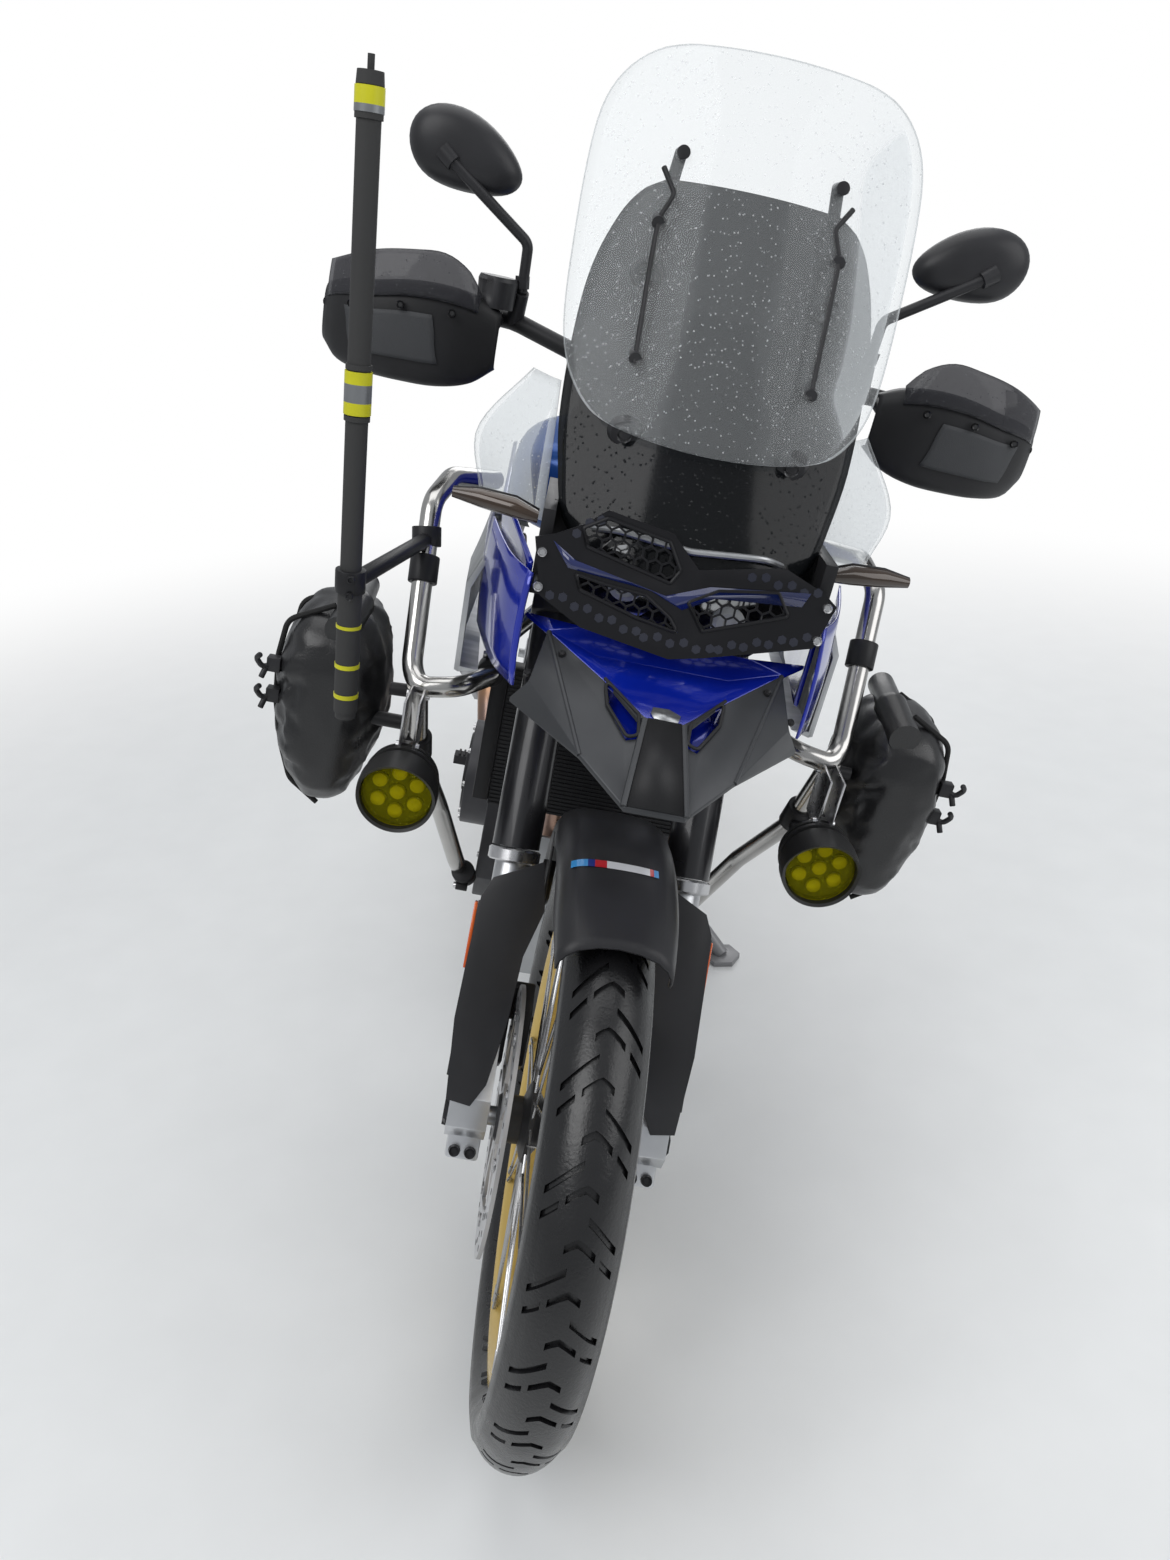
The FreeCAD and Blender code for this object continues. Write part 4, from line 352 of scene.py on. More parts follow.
MIRROR = Finish("mirror_glass", "black_plastic", (0.8, 0.82, 0.84), (0.78, 0.8, 0.82), 1.0, 0.03, 0.01)
DIAL = Finish("dial_glass", "black_plastic", (0.01, 0.012, 0.016), None, 0.0, 0.05, 0.02, coat=1.0)
STRIPE_BLUE = Finish("stripe_light_blue", "panel_blue", (0.05, 0.32, 0.72), None, 0.0, 0.3, coat=0.4)
STRIPE_NAVY = Finish("stripe_navy", "panel_blue", (0.01, 0.03, 0.25), None, 0.0, 0.3, coat=0.4)
STRIPE_RED = Finish("stripe_red", "panel_white", (0.6, 0.02, 0.03), None, 0.0, 0.3, coat=0.4)
STRIPE_WHITE = Finish("stripe_white", "panel_white", (0.75, 0.76, 0.78), None, 0.0, 0.3, coat=0.4)


def new_shape() -> BMesh:
    """An empty shape."""
    return bmesh.new()


def around(across: float, reach: float, angle: float) -> Vector:
    """A spot about an axle along X, at an angle in degrees from straight up."""
    turn = math.radians(angle)
    return Vector((across, reach * math.sin(turn), reach * math.cos(turn)))


def toward(spot: Vector, way: Vector) -> Matrix:
    """A frame at a spot whose Z axis points along a way."""
    return Matrix.Translation(spot) @ way.normalized().to_track_quat("Z", "Y").to_matrix().to_4x4()


def post(
        shape: BMesh, start: Spot, end: Spot, radius: float, end_radius: float | None = None,
        sides: int = 24) -> None:
    """Add a round post or cone from start to end."""
    first, last = Vector(start), Vector(end)
    bmesh.ops.create_cone(
        shape, cap_ends=True, segments=sides, radius1=radius,
        radius2=radius if end_radius is None else end_radius, depth=(last - first).length,
        matrix=toward((first + last) / 2, last - first))


def slab(shape: BMesh, low: Spot, high: Spot) -> None:
    """Add a box between two corners."""
    low_at, high_at = Vector(low), Vector(high)
    place = Matrix.Translation((low_at + high_at) / 2) @ Matrix.Diagonal((*(high_at - low_at), 1.0))
    bmesh.ops.create_cube(shape, size=1.0, matrix=place)


def plate(shape: BMesh, corners: Sequence[Row]) -> BMFace:
    """Add one flat face through its corners."""
    return shape.faces.new([shape.verts.new(corner) for corner in corners])


def bolt(shape: BMesh, spot: Spot, way: Row, size: float = 5.0) -> None:
    """Add a domed bolt head with a sunk socket."""
    place = toward(Vector(spot), Vector(way))
    head = bmesh.ops.create_cone(
        shape, cap_ends=True, segments=16, radius1=size, radius2=size * 0.86, depth=size * 0.8,
        matrix=place @ Matrix.Translation((0, 0, size * 0.4)))
    face = max(
        {face for vert in head["verts"] for face in vert.link_faces},
        key=lambda item: (place.inverted() @ item.calc_center_median()).z)
    bmesh.ops.inset_region(shape, faces=[face], thickness=size * 0.36)
    for vert in face.verts:
        vert.co -= place.to_3x3() @ Vector((0, 0, size * 0.4))


def rounded(route: Sequence[Spot], bend: float) -> list[Vector]:
    """A route with its corners bent round.

    Args:
        route: the corners.
        bend: the bend's radius.

    Returns:
        Closely spaced points.
    """
    spots = [Vector(row) for row in route]
    path = [spots[0]]
    for before, corner, after in zip(spots, spots[1:], spots[2:]):
        inward, outward = before - corner, after - corner
        turn = math.pi - inward.angle(outward)
        reach = min(bend * math.tan(turn / 2), 0.48 * inward.length, 0.48 * outward.length)
        first, last = corner + inward.normalized() * reach, corner + outward.normalized() * reach
        steps = max(2, round(math.degrees(turn) / 7))
        for step in range(steps + 1):
            part = step / steps
            path.append(first.lerp(corner, part).lerp(corner.lerp(last, part), part))
    path.append(spots[-1])
    return path


def tube(
        shape: BMesh, route: Sequence[Spot], radius: float | Callable[[float], float],
        bend: float = 40.0, sides: int = 16) -> None:
    """Add a bent round tube with closed ends.

    Args:
        shape: the shape to add to.
        route: its corners.
        radius: its radius, or a function of the share of the way along it.
        bend: radius of its bends.
        sides: facets around it.
    """
    path = rounded(route, bend)
    way = (path[1] - path[0]).normalized()
    turn = way.to_track_quat("Z", "Y")
    loops = []
    for place, spot in enumerate(path):
        after = path[min(place + 1, len(path) - 1)] - path[max(place - 1, 0)]
        turn = way.rotation_difference(after.normalized()) @ turn
        way = after.normalized()
        size = radius(place / (len(path) - 1)) if callable(radius) else radius
        ring = bmesh.ops.create_circle(
            shape, segments=sides, radius=size, matrix=Matrix.Translation(spot)
            @ turn.to_matrix().to_4x4())
        loops.append(list({edge for vert in ring["verts"] for edge in vert.link_edges}))
    for near, far in zip(loops, loops[1:]):
        bmesh.ops.bridge_loops(shape, edges=near + far)
    for ends in (loops[0], loops[-1]):
        bmesh.ops.edgeloop_fill(shape, edges=ends)


def lathe(
        shape: BMesh, profile: Sequence[tuple[float, float]], steps: int = 72, closed: bool = True,
        start: float = 0.0, sweep: float = 360.0) -> list[BMVert]:
    """Turn a profile (across, radius) about the X axis.

    Returns:
        The vertices it made.
    """
    before = set(shape.verts)
    verts = [shape.verts.new(around(across, radius, start)) for across, radius in profile]
    pairs = list(zip(verts, verts[1:])) + ([(verts[-1], verts[0])] if closed else [])
    edges = [shape.edges.new(ends) for ends in pairs]
    bmesh.ops.spin(
        shape, geom=verts + edges, cent=(0, 0, 0), axis=(-1, 0, 0), angle=math.radians(sweep),
        steps=steps, use_merge=sweep >= 360.0)
    made = [vert for vert in shape.verts if vert not in before]
    bmesh.ops.remove_doubles(shape, verts=made, dist=0.01)
    return [vert for vert in shape.verts if vert not in before]


def sheet(shape: BMesh, along: int, across: int, place: Callable[[float, float], Vector]) -> None:
    """Lay a grid over a curved form.

    Args:
        shape: the shape to add to.
        along: cells along it.
        across: cells across it.
        place: the spot for two shares from 0 to 1.
    """
    made = bmesh.ops.create_grid(shape, x_segments=along, y_segments=across, size=0.5)
    for vert in made["verts"]:
        vert.co = place(vert.co.x + 0.5, vert.co.y + 0.5)


def between(table: Table, at: float) -> list[float]:
    """Smooth values from a table whose first column is the station."""
    if at <= table[0][0]:
        return list(table[0][1:])
    for place, (low, high) in enumerate(zip(table, table[1:])):
        if at > high[0]:
            continue
        before, after = table[max(place - 1, 0)], table[min(place + 2, len(table) - 1)]
        span = high[0] - low[0]
        part = (at - low[0]) / span
        square, cube = part * part, part ** 3
        values = []
        for column in range(1, len(low)):
            slope_low = (high[column] - before[column]) / (high[0] - before[0]) * span
            slope_high = (after[column] - low[column]) / (after[0] - low[0]) * span
            values.append(
                (2 * cube - 3 * square + 1) * low[column] + (cube - 2 * square + part) * slope_low
                + (3 * square - 2 * cube) * high[column] + (cube - square) * slope_high)
        return values
    return list(table[-1][1:])


def mirror(*shapes: BMesh) -> None:
    """Add the same to each shape on the other side of the machine."""
    for shape in shapes:
        bmesh.ops.mirror(
            shape, geom=[*shape.verts, *shape.edges, *shape.faces], axis="X", merge_dist=-1.0)


def soften(shape: BMesh, width: float, angle: float = 30.0, segments: int = 2) -> None:
    """Round the sharp edges of a shape."""
    edges = [
        edge for edge in shape.edges if len(edge.link_faces) == 2
        and edge.calc_face_angle(0.0) > math.radians(angle)]
    bmesh.ops.bevel(
        shape, geom=edges, offset=width, segments=segments, profile=0.5, affect="EDGES", material=-1,
        clamp_overlap=True)


def piece(
        name: str, shape: BMesh, seat: Seat, finish: Finish, *nodes: str, wall: float = 0.0,
        smooth: int = 0, crease: float = 35.0) -> Object:
    """Make a named piece of the machine from a shape.

    Args:
        name: the piece's name.
        shape: its shape in millimetres, which is used up.
        seat: the frame that its sizes are in and the body that carries it.
        finish: its finish.
        nodes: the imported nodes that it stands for.
        wall: thickness given to an open sheet.
        smooth: levels of smoothing.
        crease: angle above which an edge stays sharp.

    Returns:
        The finished object.
    """
    place, body = seat.place, seat.body
    if place is not PACKED:
        shape.transform(place @ Matrix.Scale(MM, 4))
    bmesh.ops.remove_doubles(shape, verts=shape.verts, dist=1e-6)
    bmesh.ops.recalc_face_normals(shape, faces=shape.faces)
    mesh = bpy.data.meshes.new(name)
    shape.to_mesh(mesh)
    shape.free()
    mesh.materials.append(finish.material())
    mesh.shade_smooth()
    mesh.set_sharp_from_angle(angle=math.radians(crease))
    made = shown(name, mesh)
    if wall:
        thick = made.modifiers.new("wall", "SOLIDIFY")
        thick.thickness, thick.offset = wall * MM, 0.0
    if smooth:
        even = made.modifiers.new("smooth", "SUBSURF")
        even.levels = even.render_levels = smooth
    if nodes:
        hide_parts(*nodes)
    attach(made, body.value)
    LOG.info("%s: %d faces on %s", name, len(mesh.polygons), body.value)
    return made


def eased(node: str, finish: Finish, width: float, body: Body = Body.ROOT) -> Object:
    """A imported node's form with its edges rounded, in its place.

    Args:
        node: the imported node.
        finish: its finish.
        width: width of the rounding in millimetres.
        body: the body that carries it.

    Returns:
        The finished object.
    """
    shape = new_shape()
    shape.from_mesh(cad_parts[node].data)
    bmesh.ops.remove_doubles(shape, verts=shape.verts, dist=2e-5)
    bmesh.ops.dissolve_limit(shape, angle_limit=math.radians(0.6), verts=shape.verts, edges=shape.edges)
    soften(shape, width * MM)
    return piece(f"{node}_eased", shape, Seat(PACKED, body), finish, node)


def dress(node: str, finish: Finish) -> None:
    """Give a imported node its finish."""
    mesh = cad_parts[node].data
    mesh.materials.clear()
    mesh.materials.append(finish.material())
    for face in mesh.polygons:
        face.material_index = 0


# Columns in a tread block, and its grooves: column, and the shares of the half width that it spans
BLOCK = 12
GROOVES = (
    (1, 0.16, 0.95), (7, -0.95, -0.16), (4, -0.44, 0.30), (10, -0.30, 0.44), (10, 0.62, 2.0),
    (4, -2.0, -0.62))


@dataclass
class Wheel:
    """A spoked wheel: wet tyre, gold rim, crossed spokes, hub and its brake.

    Args:
        name: front or rear.
        seat: the axle's frame and the wheel's body.
        radius: the tyre's radius.
        crown: the tread's radius across.
        shoulder: the tread's half angle.
        side: the tyre's wall, as (across, radius), from the shoulder to the bead.
        bead: the rim's seat radius.
        rim_half: half the rim's inner width.
        well: the rim's well radius.
        hub: the hub's radius, flange radius, flange place and half length.
        steps: blocks around the tyre.
    """

    name: str
    seat: Seat
    radius: float
    crown: float
    shoulder: float
    side: tuple[tuple[float, float], ...]
    bead: float
    rim_half: float
    well: float
    hub: tuple[float, float, float, float]
    steps: int

    def tyre(self) -> None:
        """The tyre, with slanted grooves pushed into its tread."""
        bands, depth = 14, 5.0
        turns = [math.radians(self.shoulder) * (1 - 2 * place / bands) for place in range(bands + 1)]
        tread = [
            (self.crown * math.sin(turn), self.radius - self.crown + self.crown * math.cos(turn))
            for turn in turns]
        shape = new_shape()
        columns = self.steps * BLOCK
        lathe(
            shape, [*reversed(self.side), *tread, *((-across, radius) for across, radius in self.side)],
            columns)
        step = 2 * math.pi / columns
        edge = tread[0][0]
        grooves = []
        for face in shape.faces:
            middle = face.calc_center_median()
            share = middle.x / edge
            if abs(share) > 1.0:
                continue
            column = int(math.atan2(middle.y, middle.z) / step + columns) % BLOCK
            if any(column == at and low < share < high for at, low, high in GROOVES):
                grooves.append(face)
        sunk = bmesh.ops.extrude_face_region(shape, geom=grooves)
        for item in sunk["geom"]:
            if isinstance(item, BMVert):
                reach = math.hypot(item.co.y, item.co.z)
                item.co.y *= (reach - depth) / reach
                item.co.z *= (reach - depth) / reach
        bmesh.ops.delete(shape, geom=grooves, context="FACES_ONLY")
        for vert in shape.verts:
            if abs(vert.co.x) <= edge + 6:
                vert.co = Matrix.Rotation(
                    4.16 * step * (abs(vert.co.x) / edge) ** 1.3, 3, "X") @ vert.co
        piece(f"{self.name}_tyre_tread", shape, self.seat, TYRE, f"{self.name}_tyre", crease=30)

    def rim(self) -> None:
        """A deep rim with rolled edges, and a valve."""
        half, bead, well = self.rim_half, self.bead, self.well
        inside = half * 0.35
        edge = half + 4
        profile = (
            (-edge, bead - 3), (-inside - 4, well - 3.4), (-inside + 2, well - 4),
            (inside - 2, well - 4), (inside + 4, well - 3.4), (edge, bead - 3), (edge + 0.4, bead + 4),
            (edge - 0.6, bead + 12), (half + 2, bead + 13.8), (half + 0.4, bead + 12), (half, bead + 1),
            (half - 1.5, bead), (inside, well), (-inside, well), (1.5 - half, bead), (-half, bead + 1),
            (-half - 0.4, bead + 12), (-half - 2, bead + 13.8), (0.6 - edge, bead + 12),
            (-edge - 0.4, bead + 4))
        shape = new_shape()
        lathe(shape, profile, 120)
        post(shape, (0, 0, -well + 3), (0, 0, -well + 36), 3.4, 2.6, 10)
        piece(f"{self.name}_rim_rolled", shape, self.seat, GOLD, f"{self.name}_rim", crease=50)

    def spokes(self) -> None:
        """Round crossed spokes with nipples, and the hub."""
        radius, flange, flange_at, half = self.hub
        shape = new_shape()
        for side in SIDES:
            for group in range(9):
                for lean in (-1, 1):
                    angle = 40.0 * (group + 0.25 * side + 0.12 * lean)
                    foot = around((flange_at - 3) * side, flange - 5, angle)
                    head = around((self.rim_half + 0.5) * side, self.bead - 6.5, angle + lean * 34)
                    post(shape, foot, head, 1.9, sides=8)
                    post(shape, foot.lerp(head, 0.90), head, 2.6, 3.6, 8)
        piece(f"{self.name}_spokes", shape, self.seat, SPOKE, f"{self.name}_hub_and_spokes")
        shape = new_shape()
        lathe(
            shape, ((-half, 11.5), (half, 11.5), (half, radius - 3), (half - 3, radius),
            (flange_at + 7, radius), (flange_at + 2, flange - 4), (flange_at, flange),
            (flange_at - 6, flange), (flange_at - 9, flange - 8), (flange_at - 16, radius + 1),
            (16 - flange_at, radius + 1), (9 - flange_at, flange - 8), (6 - flange_at, flange),
            (-flange_at, flange), (-flange_at - 2, flange - 4), (-flange_at - 7, radius),
            (3 - half, radius), (-half, radius - 3)), 64)
        piece(f"{self.name}_hub", shape, self.seat, HUB, f"{self.name}_hub_and_spokes", crease=40)

    def brake(self, faces: Sequence[float], radius: float) -> None:
        """Drilled holes, filled with near-black painted shade, and bobbins on the discs.

        Args:
            faces: the inner face of each disc, across.
            radius: the disc's radius.
        """
        holes, studs = new_shape(), new_shape()
        for face in faces:
            for turn in range(36):
                reach = radius - 9 - 8.5 * (turn % 3)
                post(
                    holes, around(face - 0.3, reach, turn * 10), around(face + 4.8, reach, turn * 10),
                    3.4, sides=10)
            for turn in range(0, 360, 36):
                post(
                    studs, around(face - 2, radius - 38, turn), around(face + 6.5, radius - 38, turn),
                    7.5, sides=14)
        piece(f"{self.name}_disc_holes", holes, self.seat, HOLE_SHADE)
        piece(f"{self.name}_disc_bobbins", studs, self.seat, SPOKE)

    def build(self) -> None:
        """Every piece of the wheel."""
        self.tyre()
        self.rim()
        self.spokes()


@dataclass
class ForkEnd:
    """Fork, its guards, the front fender and the calipers.

    Args:
        span: half the distance between the legs.
        ahead: how far the legs stand ahead of the steering axis.
        fender: the fender's cross-section as (across, radius).
    """

    span: float = 104.0
    ahead: float = 35.0
    fender: tuple[tuple[float, float], ...] = (
        (-61, 318), (-61.5, 334), (-60, 350), (-54, 360), (-42, 366.5), (-22, 369.3), (0, 370),
        (22, 369.3), (42, 366.5), (54, 360), (60, 350), (61.5, 334), (61, 318))

    def tubes(self) -> None:
        """Dark tubes with silver seal rings and bolted clamps."""
        tubes, rings, clamps, bolts = (new_shape() for _ in range(4))
        across, back = self.span, -self.ahead
        post(tubes, (across, back, 664), (across, back, 1194), 28.4, sides=48)
        post(tubes, (across, back, 1194), (across, back, 1196), 28.4, 24, sides=48)
        for foot, height, radius in ((646, 16, 31.0), (1186, 9, 20.0)):
            for start, end, first, last in (
                    (0.0, 0.12, 0.92, 1.0), (0.12, 0.88, 1.0, 1.0), (0.88, 1.0, 1.0, 0.92)):
                post(
                    rings, (across, back, foot + height * start), (across, back, foot + height * end),
                    radius * first, radius * last, 40)
        mirror(tubes, rings)
        piece("fork_tubes", tubes, FORKS, FORK_TUBE, "fork_outer_tubes")
        piece("fork_seal_rings", rings, FORKS, SEAL)
        outline = (
            (-137, -55), (-123, -69), (-60, -69), (-34, -47), (34, -47), (60, -69), (123, -69),
            (137, -55), (137, -8), (34, 24), (-34, 24), (-137, -8))
        for low, high in ((944, 982), (1148, 1174)):
            top = bmesh.ops.extrude_face_region(
                clamps, geom=[plate(clamps, [(*spot, low) for spot in outline])])
            bmesh.ops.translate(
                clamps, vec=(0, 0, high - low), verts=[item for item in top["geom"]
                if isinstance(item, BMVert)])
        soften(clamps, 3.0)
        post(clamps, (0, 0, 982), (0, 0, 1150), 15)
        piece("fork_clamps", clamps, FORKS, METAL_BLACK)
        for back, up in ((-58, 953), (-58, 973), (-56, 1161)):
            bolt(bolts, (40, back, up), (0.3, -1, 0), 5)
        mirror(bolts)
        bolt(bolts, (0, 0, 1174), (0, 0, 1), 14)
        piece("fork_clamp_bolts", bolts, FORKS, SEAL)

    def guards(self) -> None:
        """Rounded leg guards with orange reflectors."""
        eased("fork_guards", SATIN, 1.6, Body.STEERING)
        lamps = new_shape()
        slab(lamps, (136, -88, 520), (140, -66, 596))
        mirror(lamps)
        soften(lamps, 1.0)
        piece("leg_reflectors", lamps, FORKS, ORANGE)

    def front_fender(self) -> None:
        """The fender: one curved shell with a pointed lip, and its stripe."""
        wheel = Seat(
            FORK @ Matrix.Translation((0.0, -0.0706, 0.35547)) @ Matrix.Rotation(RAKE, 4, "X"),
            Body.STEERING)
        shape = new_shape()
        lathe(shape, self.fender, 44, closed=False, start=-20.5, sweep=86.5)
        for vert in shape.verts:
            angle = math.degrees(math.atan2(vert.co.y, vert.co.z))
            reach = math.hypot(vert.co.y, vert.co.z)
            lip = max(0.0, (-6.0 - angle) / 14.5)
            rear = max(0.0, (angle - 54.0) / 12.0)
            vert.co.x *= 1.0 - 0.09 * lip ** 2 - 0.12 * rear
            pull = 1.0 + max(0.0, 352.0 - reach) * (0.55 * min(lip * 1.3, 1.0) + 0.6 * rear) / reach
            vert.co.y *= pull
            vert.co.z *= pull
            slip = math.radians(-2.4 * lip * (abs(vert.co.x) / 62.0) ** 2)
            vert.co = Matrix.Rotation(-slip, 3, "X") @ vert.co
        made = piece("front_fender_shell", shape, wheel, SATIN, "front_fender", wall=3.0, crease=60)
        made.modifiers["wall"].offset = -1.0
        crown = ((0, 370.0), (22, 369.3), (42, 366.5), (54, 360.0), (60, 350.0))
        stripes = (
            (STRIPE_BLUE, -52, -36), (STRIPE_NAVY, -36, -29), (STRIPE_RED, -29, -17),
            (STRIPE_WHITE, -17, 27), (STRIPE_RED, 27, 31), (STRIPE_BLUE, 31, 36))
        for place, (finish, start, end) in enumerate(stripes):
            band = new_shape()

            def strip(part: float, turn: float, start: float = start, end: float = end) -> Vector:
                """A spot on the stripe."""
                across = start + (end - start) * part
                return around(across, between(crown, abs(across))[0] + 0.6, -4.4 + 1.9 * turn)

            sheet(band, 6, 2, strip)
            piece(f"fender_stripe_{place}", band, wheel, finish)
        stays = new_shape()
        tube(stays, ((82, -35, 600), (62, -35, 604), (60, -30, 655)), 8, 10)
        slab(stays, (59.5, -52, 610), (62.5, -14, 690))
        mirror(stays)
        soften(stays, 0.8)
        piece("fender_stays", stays, FORKS, METAL_BLACK)

    def legs(self) -> None:
        """The silver leg ends, calipers and their bolts."""
        for node, finish, width in (("fork_sliders", LEG, 2.0), ("front_calipers", METAL_BLACK, 3.0)):
            eased(node, finish, width, Body.STEERING)
        clamps, bolts = new_shape(), new_shape()
        slab(clamps, (84, -84, 304), (122, -50, 360))
        for back, up in ((-63, 340), (-54.6, 368)):
            bolt(bolts, (127, back, up), (1, 0, 0), 6)
        post(bolts, (128, -70.6, 355.5), (132, -70.6, 355.5), 17, 15, 6)
        for across in (94, 112):
            bolt(bolts, (across, -84, 314), (0, -1, 0), 7)
        mirror(clamps, bolts)
        soften(clamps, 4.0)
        piece("axle_clamps", clamps, FORKS, LEG)
        piece("leg_bolts", bolts, FORKS, METAL_BLACK)

    def build(self) -> None:
        """Every piece of the fork."""
        self.tubes()
        self.guards()
        self.front_fender()
        self.legs()


@dataclass
class Controls:
    """Handlebar, grips, levers, handguards and mirrors.

    Args:
        route: the left half of the bar.
        guard: sections of the left handguard: across, front, low, high, depth.
    """

    route: tuple[Row, ...] = ((0, 0, 0), (95, 0, 0), (225, 30, 32), (300, 52, 28), (436, 96.6, 7.4))
    guard: tuple[Row, ...] = (
        (236, -20, -24, 38, 18), (262, -32, -44, 50, 26), (300, -44, -54, 56, 32),
        (345, -46, -56, 54, 34), (390, -38, -55, 45, 34), (428, -14, -50, 38, 36),
        (450, 12, -34, 30, 40))

    def bar(self) -> None:
        """The bar on its risers, with clamp bolts."""
        right = [(-across, back, up) for across, back, up in reversed(self.route)]
        shape = new_shape()
        tube(
            shape, (*right, *self.route[1:]), lambda part: 11.0
            + 3.0 * max(0.0, 1 - abs(part - 0.5) * 5), 90, 20)
        piece("handlebar_bent", shape, BARS, METAL_BLACK, "handlebar")
        risers, bolts = new_shape(), new_shape()
        post(risers, (48, 39.6, -74.4), (48, 0, 0), 15, 17, 28)
        slab(risers, (31, -19, -19), (65, 19, 21))
        for back in (-12, 12):
            for across in (38, 58):
                bolt(bolts, (across, back, 20.5), (0, 0, 1), 4)
        mirror(risers, bolts)
        soften(risers, 3)
        piece("bar_risers", risers, BARS, METAL_BLACK)
        piece("riser_bolts", bolts, BARS, SEAL)

    def grips(self) -> None:
        """Ribbed grips, switch pods with buttons, reservoirs and jointed levers."""
        start, end = Vector(self.route[3]), Vector(self.route[4])
        way = (end - start).normalized()
        rubber, pods, levers = new_shape(), new_shape(), new_shape()
        for rib in range(17):
            low = start + way * (36 + rib * 5.8)
            post(rubber, low, low + way * 5.8, *((16.6, 15.4) if rib % 2 else (15.4, 16.6)), 20)
        post(rubber, start + way * 34, start + way * 37, 20, sides=24)
        post(pods, start + way * 2, start + way * 34, 22, 20, 24)
        slab(pods, start + way * 8 + Vector((-14, -26, -20)), start + way * 8 + Vector((16, 14, 18)))
        soften(pods, 4)
        for up in (-10, 4):
            post(
                pods, start + way * 16 + Vector((0, 16, up)), start + way * 16 + Vector((0, 27, up)), 5,
                4, 12)
        root = start + way * 18
        tube(
            levers, (root + Vector((0, -14, 0)), root + Vector((14, -56, -6)),
            end + Vector((-16, -62, -4))), lambda part: 6.5 - 1.5 * part + (2.0 if part > 0.97 else 0),
            30, 12)
        post(levers, root + Vector((8, -36, -9)), root + Vector((8, -36, 9)), 9, sides=16)
        mirror(rubber, pods, levers)
        post(pods, (-246, 0, 44), (-246, 0, 74), 22, 24, 24)
        post(pods, (-246, 0, 74), (-246, 0, 79), 24, 22, 24)
        piece("grip_rubbers", rubber, BARS, RUBBER, "grips_and_levers")
        piece("switch_pods", pods, BARS, SATIN)
        piece("brake_and_clutch_levers", levers, BARS, METAL_BLACK)

    def handguards(self) -> None:
        """Curved shells with a grey inset, smoked deflectors and their screws."""
        def shell(part: float, turn: float, grow: float = 0.0) -> Vector:
            """A spot on the left shell."""
            across = 236 + (450 - 236) * part
            front, low, high, depth = between(self.guard, across)
            angle = math.pi * (turn - 0.5)
            middle, half = (low + high) / 2, (high - low) / 2
            bulge = abs(math.cos(angle)) ** 0.35
            up = middle + half * math.copysign(abs(math.sin(angle)) ** 0.75, math.sin(angle))
            return Vector((across, front + depth * (1 - bulge) - grow, up))

        shape = new_shape()
        sheet(shape, 36, 22, shell)
        mirror(shape)
        piece("handguard_shells", shape, BARS, MOULDED, "handguards", wall=4.0, crease=70)
        inset = new_shape()
        sheet(
            inset, 18, 8, lambda part, turn: shell(0.30 + 0.50 * part + 0.06 * turn, 0.36 + 0.25 * turn,
            3.2))
        mirror(inset)
        piece("handguard_insets", inset, BARS, VINYL_SIDE, wall=2.0, crease=70)
        arms = new_shape()
        tube(arms, ((441, 97, 7), (452, 64, 8), (446, 12, 10)), 7, 14)
        tube(arms, ((246, -20, 18), (240, 34, 31)), 7)
        post(arms, (436, 96.6, 7.4), (450, 101.2, 5.3), 15, 14, 24)
        mirror(arms)
        piece("handguard_arms", arms, BARS, METAL_BLACK)
        clear = new_shape()

        def visor(part: float, turn: float) -> Vector:
            """A spot on the left deflector."""
            across = 262 + (446 - 262) * part
            top = between(((262, 56), (278, 78), (306, 92), (340, 90), (390, 80), (446, 58)), across)[0]
            foot = between(self.guard, across)
            low = foot[2] - 14
            return Vector(
                (across, foot[0] - 1 + 10 * turn * turn, low + (max(top, low + 2) - low) * turn))

        sheet(clear, 24, 8, visor)
        mirror(clear)
        piece("hand_deflector_sheets", clear, BARS, SMOKE_TINT, "hand_deflectors", wall=3.0, crease=70)
        screws = new_shape()
        for across in (290, 350, 410):
            foot = between(self.guard, across)
            bolt(screws, (across, foot[0] - 6, foot[2] - 24), (0, -1, 0.2), 5)
        mirror(screws)
        piece("handguard_screws", screws, BARS, GLOSS_BLACK)

    def mirrors(self) -> None:
        """Teardrop mirrors on bent stalks."""
        stalks = new_shape()
        post(stalks, (222, 29, 31), (217, 10, 66), 11, 9, 20)
        tube(stalks, ((217, 10, 66), (218, 5, 120), (322, -9, 190)), 6.4, 16, 16)
        post(stalks, (314, -9, 185), (329, -5, 196), 9.5, 11, 20)
        post(stalks, (217.5, 9.8, 70), (219, 9.6, 84), 8.6, 8.6, 6)
        mirror(stalks)
        piece("mirror_stalks", stalks, BARS, SATIN, "mirrors")
        heads, glass = new_shape(), new_shape()
        outline = (
            (233, 180), (248, 163), (281, 158), (320, 158), (356, 167), (375, 196), (372, 226),
            (347, 245), (305, 245), (266, 225), (240, 199))

        def ring(back: float, share: float) -> list[Row]:
            """The outline drawn in about its middle."""
            return [
                (312 + (across - 312) * share, back, 200 + (up - 200) * share)
                for across, up in outline]

